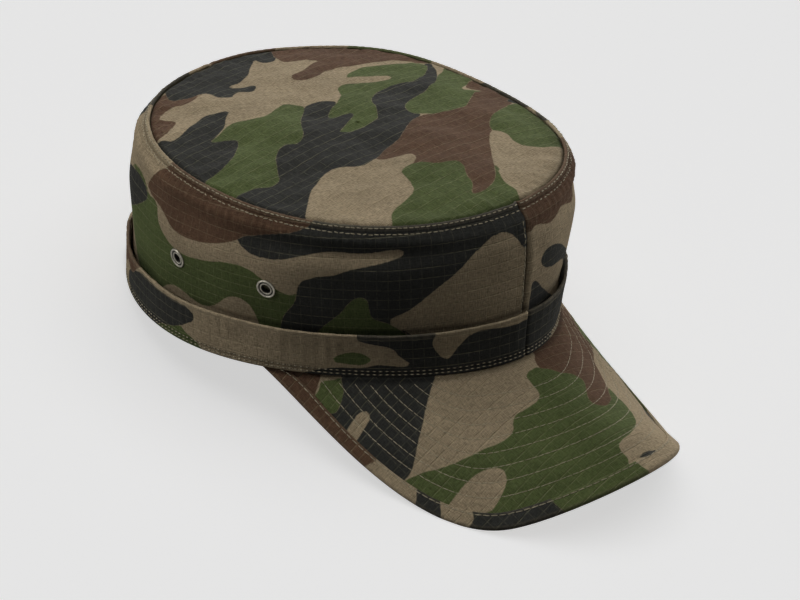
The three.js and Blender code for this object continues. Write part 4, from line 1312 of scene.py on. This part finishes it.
def eyelet_place(node):
    """The wall's point and outward heading under a node's middle."""
    low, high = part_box(node)
    middle = from_floor((np.array(low) + np.array(high)) / 2)
    way = np.linspace(5, WAY_ROUND - 5, 4000)
    candidates = wall_point(way, EYELET_HEIGHT + 0 * way)
    at = way[np.linalg.norm(candidates - middle, axis=1).argmin()]
    point = wall_point(np.array([at]), np.array([EYELET_HEIGHT]))[0]
    round_step = wall_point(np.array([at + 1]), np.array([EYELET_HEIGHT]))[0] - point
    up_step = wall_point(np.array([at]), np.array([EYELET_HEIGHT + 1]))[0] - point
    normal = unit(np.cross(up_step, round_step))
    if normal @ np.array([point[0], point[1], 0]) < 0:
        normal = -normal
    return point, normal


def make_eyelet(node, point, normal):
    """A node's eyelet, turned from its profile."""
    side = unit(np.cross(normal, UP))
    top = np.cross(side, normal)
    count = 48
    turn = np.arange(count) * TURN / count
    ring = np.cos(turn)[:, None] * side + np.sin(turn)[:, None] * top
    grid = np.array([point + ring * radius + normal * height for radius, height, _ in EYELET_PROFILE])
    faces = grid_faces(len(EYELET_PROFILE), count, True, True)
    piece = add_piece(node + "_metal", grid, faces, EYELET_METAL)
    add_attribute(piece, "grime_and_shade", np.repeat([row[2] for row in EYELET_PROFILE], count))
    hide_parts(node)


EYELETS = {node: eyelet_place(node) for node in EYELET_NODES}

make_top()
make_wall(1, "side_panel_right", RIGHT_WALL_PRINT)
make_wall(-1, "side_panel_left", LEFT_WALL_PRINT)
make_band(1, "band_right", RIGHT_BAND_PRINT)
make_band(-1, "band_left", LEFT_BAND_PRINT)
make_peak()
make_binding()
make_seam_stitches()
make_peak_stitches()
for name, (place, heading) in EYELETS.items():
    make_eyelet(name, place, heading)


# Floor, light and camera
def collect(name, pieces):
    """A collection of pieces that one group of lights is for."""
    group = bpy.data.collections.new(name)
    for piece in pieces:
        group.objects.link(piece)
    return group


def make_floor():
    """A pale floor that curves up into a backdrop far from the cap, with a painted shadow under the hollow's
    back.
    """
    bend = arc((FLOOR_REACH, BACKDROP_BEND), BACKDROP_BEND, -1, 0, 12)
    rings = [(0.05, 0.0), (1.0, 0.0)] + bend + [(FLOOR_REACH + BACKDROP_BEND, BACKDROP_HEIGHT)]
    count = 96
    turn = np.arange(count) * TURN / count
    points = [(radius * math.cos(t), radius * math.sin(t), height) for radius, height in rings for t in turn]
    faces = grid_faces(len(rings), count, False, True) + [list(range(count))]
    g = Graph("floor")
    x, y, _ = g.split(g.tree.nodes.new("ShaderNodeTexCoord").outputs["Object"])
    across = g.math("DIVIDE", x, SHADE_WIDTH / 2 * MM)
    along = g.math("DIVIDE", g.math("SUBTRACT", y, SHADE_PLACE * MM), SHADE_LENGTH / 2 * MM)
    from_middle = g.math("ADD", g.times(across, across), g.times(along, along))
    # Painted shadow: the glow fades out under the back of the cap's hollow
    glow = g.remap(from_middle, 0.5, 1.3, 0.0, FLOOR_GLOW)
    look = g.finish(Base_Color=grey(0.8), Roughness=0.9, Specular_IOR_Level=0.1, Emission_Color=grey(1.0),
                    Emission_Strength=glow)
    floor = new_object("floor", points, faces, look)
    floor.visible_diffuse = False
    floor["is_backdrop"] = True
    return floor


def heading_from(azimuth, elevation):
    """A heading from an azimuth, 0 in front and growing towards the wearer's left, and an elevation."""
    level = math.cos(elevation)
    return math.sin(azimuth) * level, -math.cos(azimuth) * level, math.sin(elevation)


def add_light(name, azimuth, elevation, distance, size, strength, group):
    """A square soft light on one group; at strength 1 it lights a white sheet that faces it as white."""
    back = Vector(heading_from(math.radians(azimuth), math.radians(elevation)))
    light = bpy.data.lights.new(name, "AREA")
    light.energy = strength * math.pi ** 2 * distance ** 2
    light.size = size
    lamp = bpy.data.objects.new(name, light)
    lamp.location = LIGHT_TARGET + back * distance
    lamp.rotation_euler = (-back).to_track_quat("-Z", "Y").to_euler()
    lamp.light_linking.receiver_collection = group
    bpy.context.scene.collection.objects.link(lamp)


def make_camera():
    """The photo's camera, worked out in the cap's own frame and carried to the floor's."""
    back = np.array(heading_from(CAMERA_AZIMUTH, CAMERA_ELEVATION))
    right = unit(np.cross(-back, UP))
    above = np.cross(right, -back)
    cos, sin = math.cos(CAMERA_ROLL), math.sin(CAMERA_ROLL)
    right, above = cos * right + sin * above, -sin * right + cos * above
    place = np.array(CAMERA_TARGET) + back * CAMERA_DISTANCE
    axes = np.array([place, place + right, place + above, place + back])
    place, *tips = to_floor(axes)
    right, above, back = [(tip - place) / MM for tip in tips]
    camera = bpy.data.cameras.new("camera")
    camera.lens = FOCAL_PIXELS * SENSOR_WIDTH / IMAGE_WIDTH
    camera.sensor_width = SENSOR_WIDTH
    camera.clip_end = 50
    viewer = bpy.data.objects.new("camera", camera)
    rows = [[float(part) for part in row] for row in zip(right, above, back, place)]
    viewer.matrix_world = Matrix(rows + [[0.0, 0.0, 0.0, 1.0]])
    bpy.context.scene.collection.objects.link(viewer)
    bpy.context.scene.camera = viewer


# The strength of the sky and of the ground, and how far below the level the one fades into the other
SKY = 0.03
GROUND = 0.16
HORIZON_FADE = 0.06
# The floor's glow, and its painted shadow, where the glow fades out: how far back its middle is, its width
# and its length, in mm
FLOOR_GLOW = 0.6
SHADE_PLACE = 98
SHADE_WIDTH = 100
SHADE_LENGTH = 88
# How far the floor is flat, the radius of its bend into the backdrop and the backdrop's height, in metres
FLOOR_REACH = 3.0
BACKDROP_BEND = 1.0
BACKDROP_HEIGHT = 4.0
LIGHT_TARGET = Vector((0, 0, 0.06))
# Rows of (name, azimuth, elevation, distance, size, strength), in degrees and metres
FLOOR_LIGHT = ("floor_light", 0, 90, 2.4, 3.0, 0.305)
LIGHTS = [
    ("left_low", -135, 15, 1.8, 0.8, 0.25),
    ("left_high", -135, 50, 1.8, 0.8, 0.36),
    ("back_right", 135, 11, 1.8, 0.5, 0.50),
    ("right_low", 80, 9, 1.8, 0.5, 0.46),
    ("right_high", 40, 50, 1.8, 0.8, 0.10),
    ("overhead", 0, 80, 1.8, 0.8, 0.22),
]


def make_world():
    """An even pale sky, darker below the floor's level."""
    world = bpy.data.worlds.new("studio")
    world.use_nodes = True
    nodes, links = world.node_tree.nodes, world.node_tree.links
    heading = nodes.new("ShaderNodeTexCoord")
    split = nodes.new("ShaderNodeSeparateXYZ")
    fade = nodes.new("ShaderNodeMapRange")
    links.new(heading.outputs["Generated"], split.inputs[0])
    links.new(split.outputs["Z"], fade.inputs["Value"])
    for name, value in (("From Min", -HORIZON_FADE), ("From Max", 0.0), ("To Min", GROUND), ("To Max", SKY)):
        fade.inputs[name].default_value = value
    background = nodes["Background"]
    background.inputs["Color"].default_value = grey(1.0)
    links.new(fade.outputs[0], background.inputs["Strength"])
    scene = bpy.context.scene
    scene.world = world
    scene.view_settings.view_transform = "Standard"


floor = make_floor()
make_world()
cap_group = collect("lit_cap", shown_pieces())
floor_group = collect("lit_floor", [floor])
for row in LIGHTS:
    add_light(*row, cap_group)
add_light(*FLOOR_LIGHT, floor_group)
make_camera()
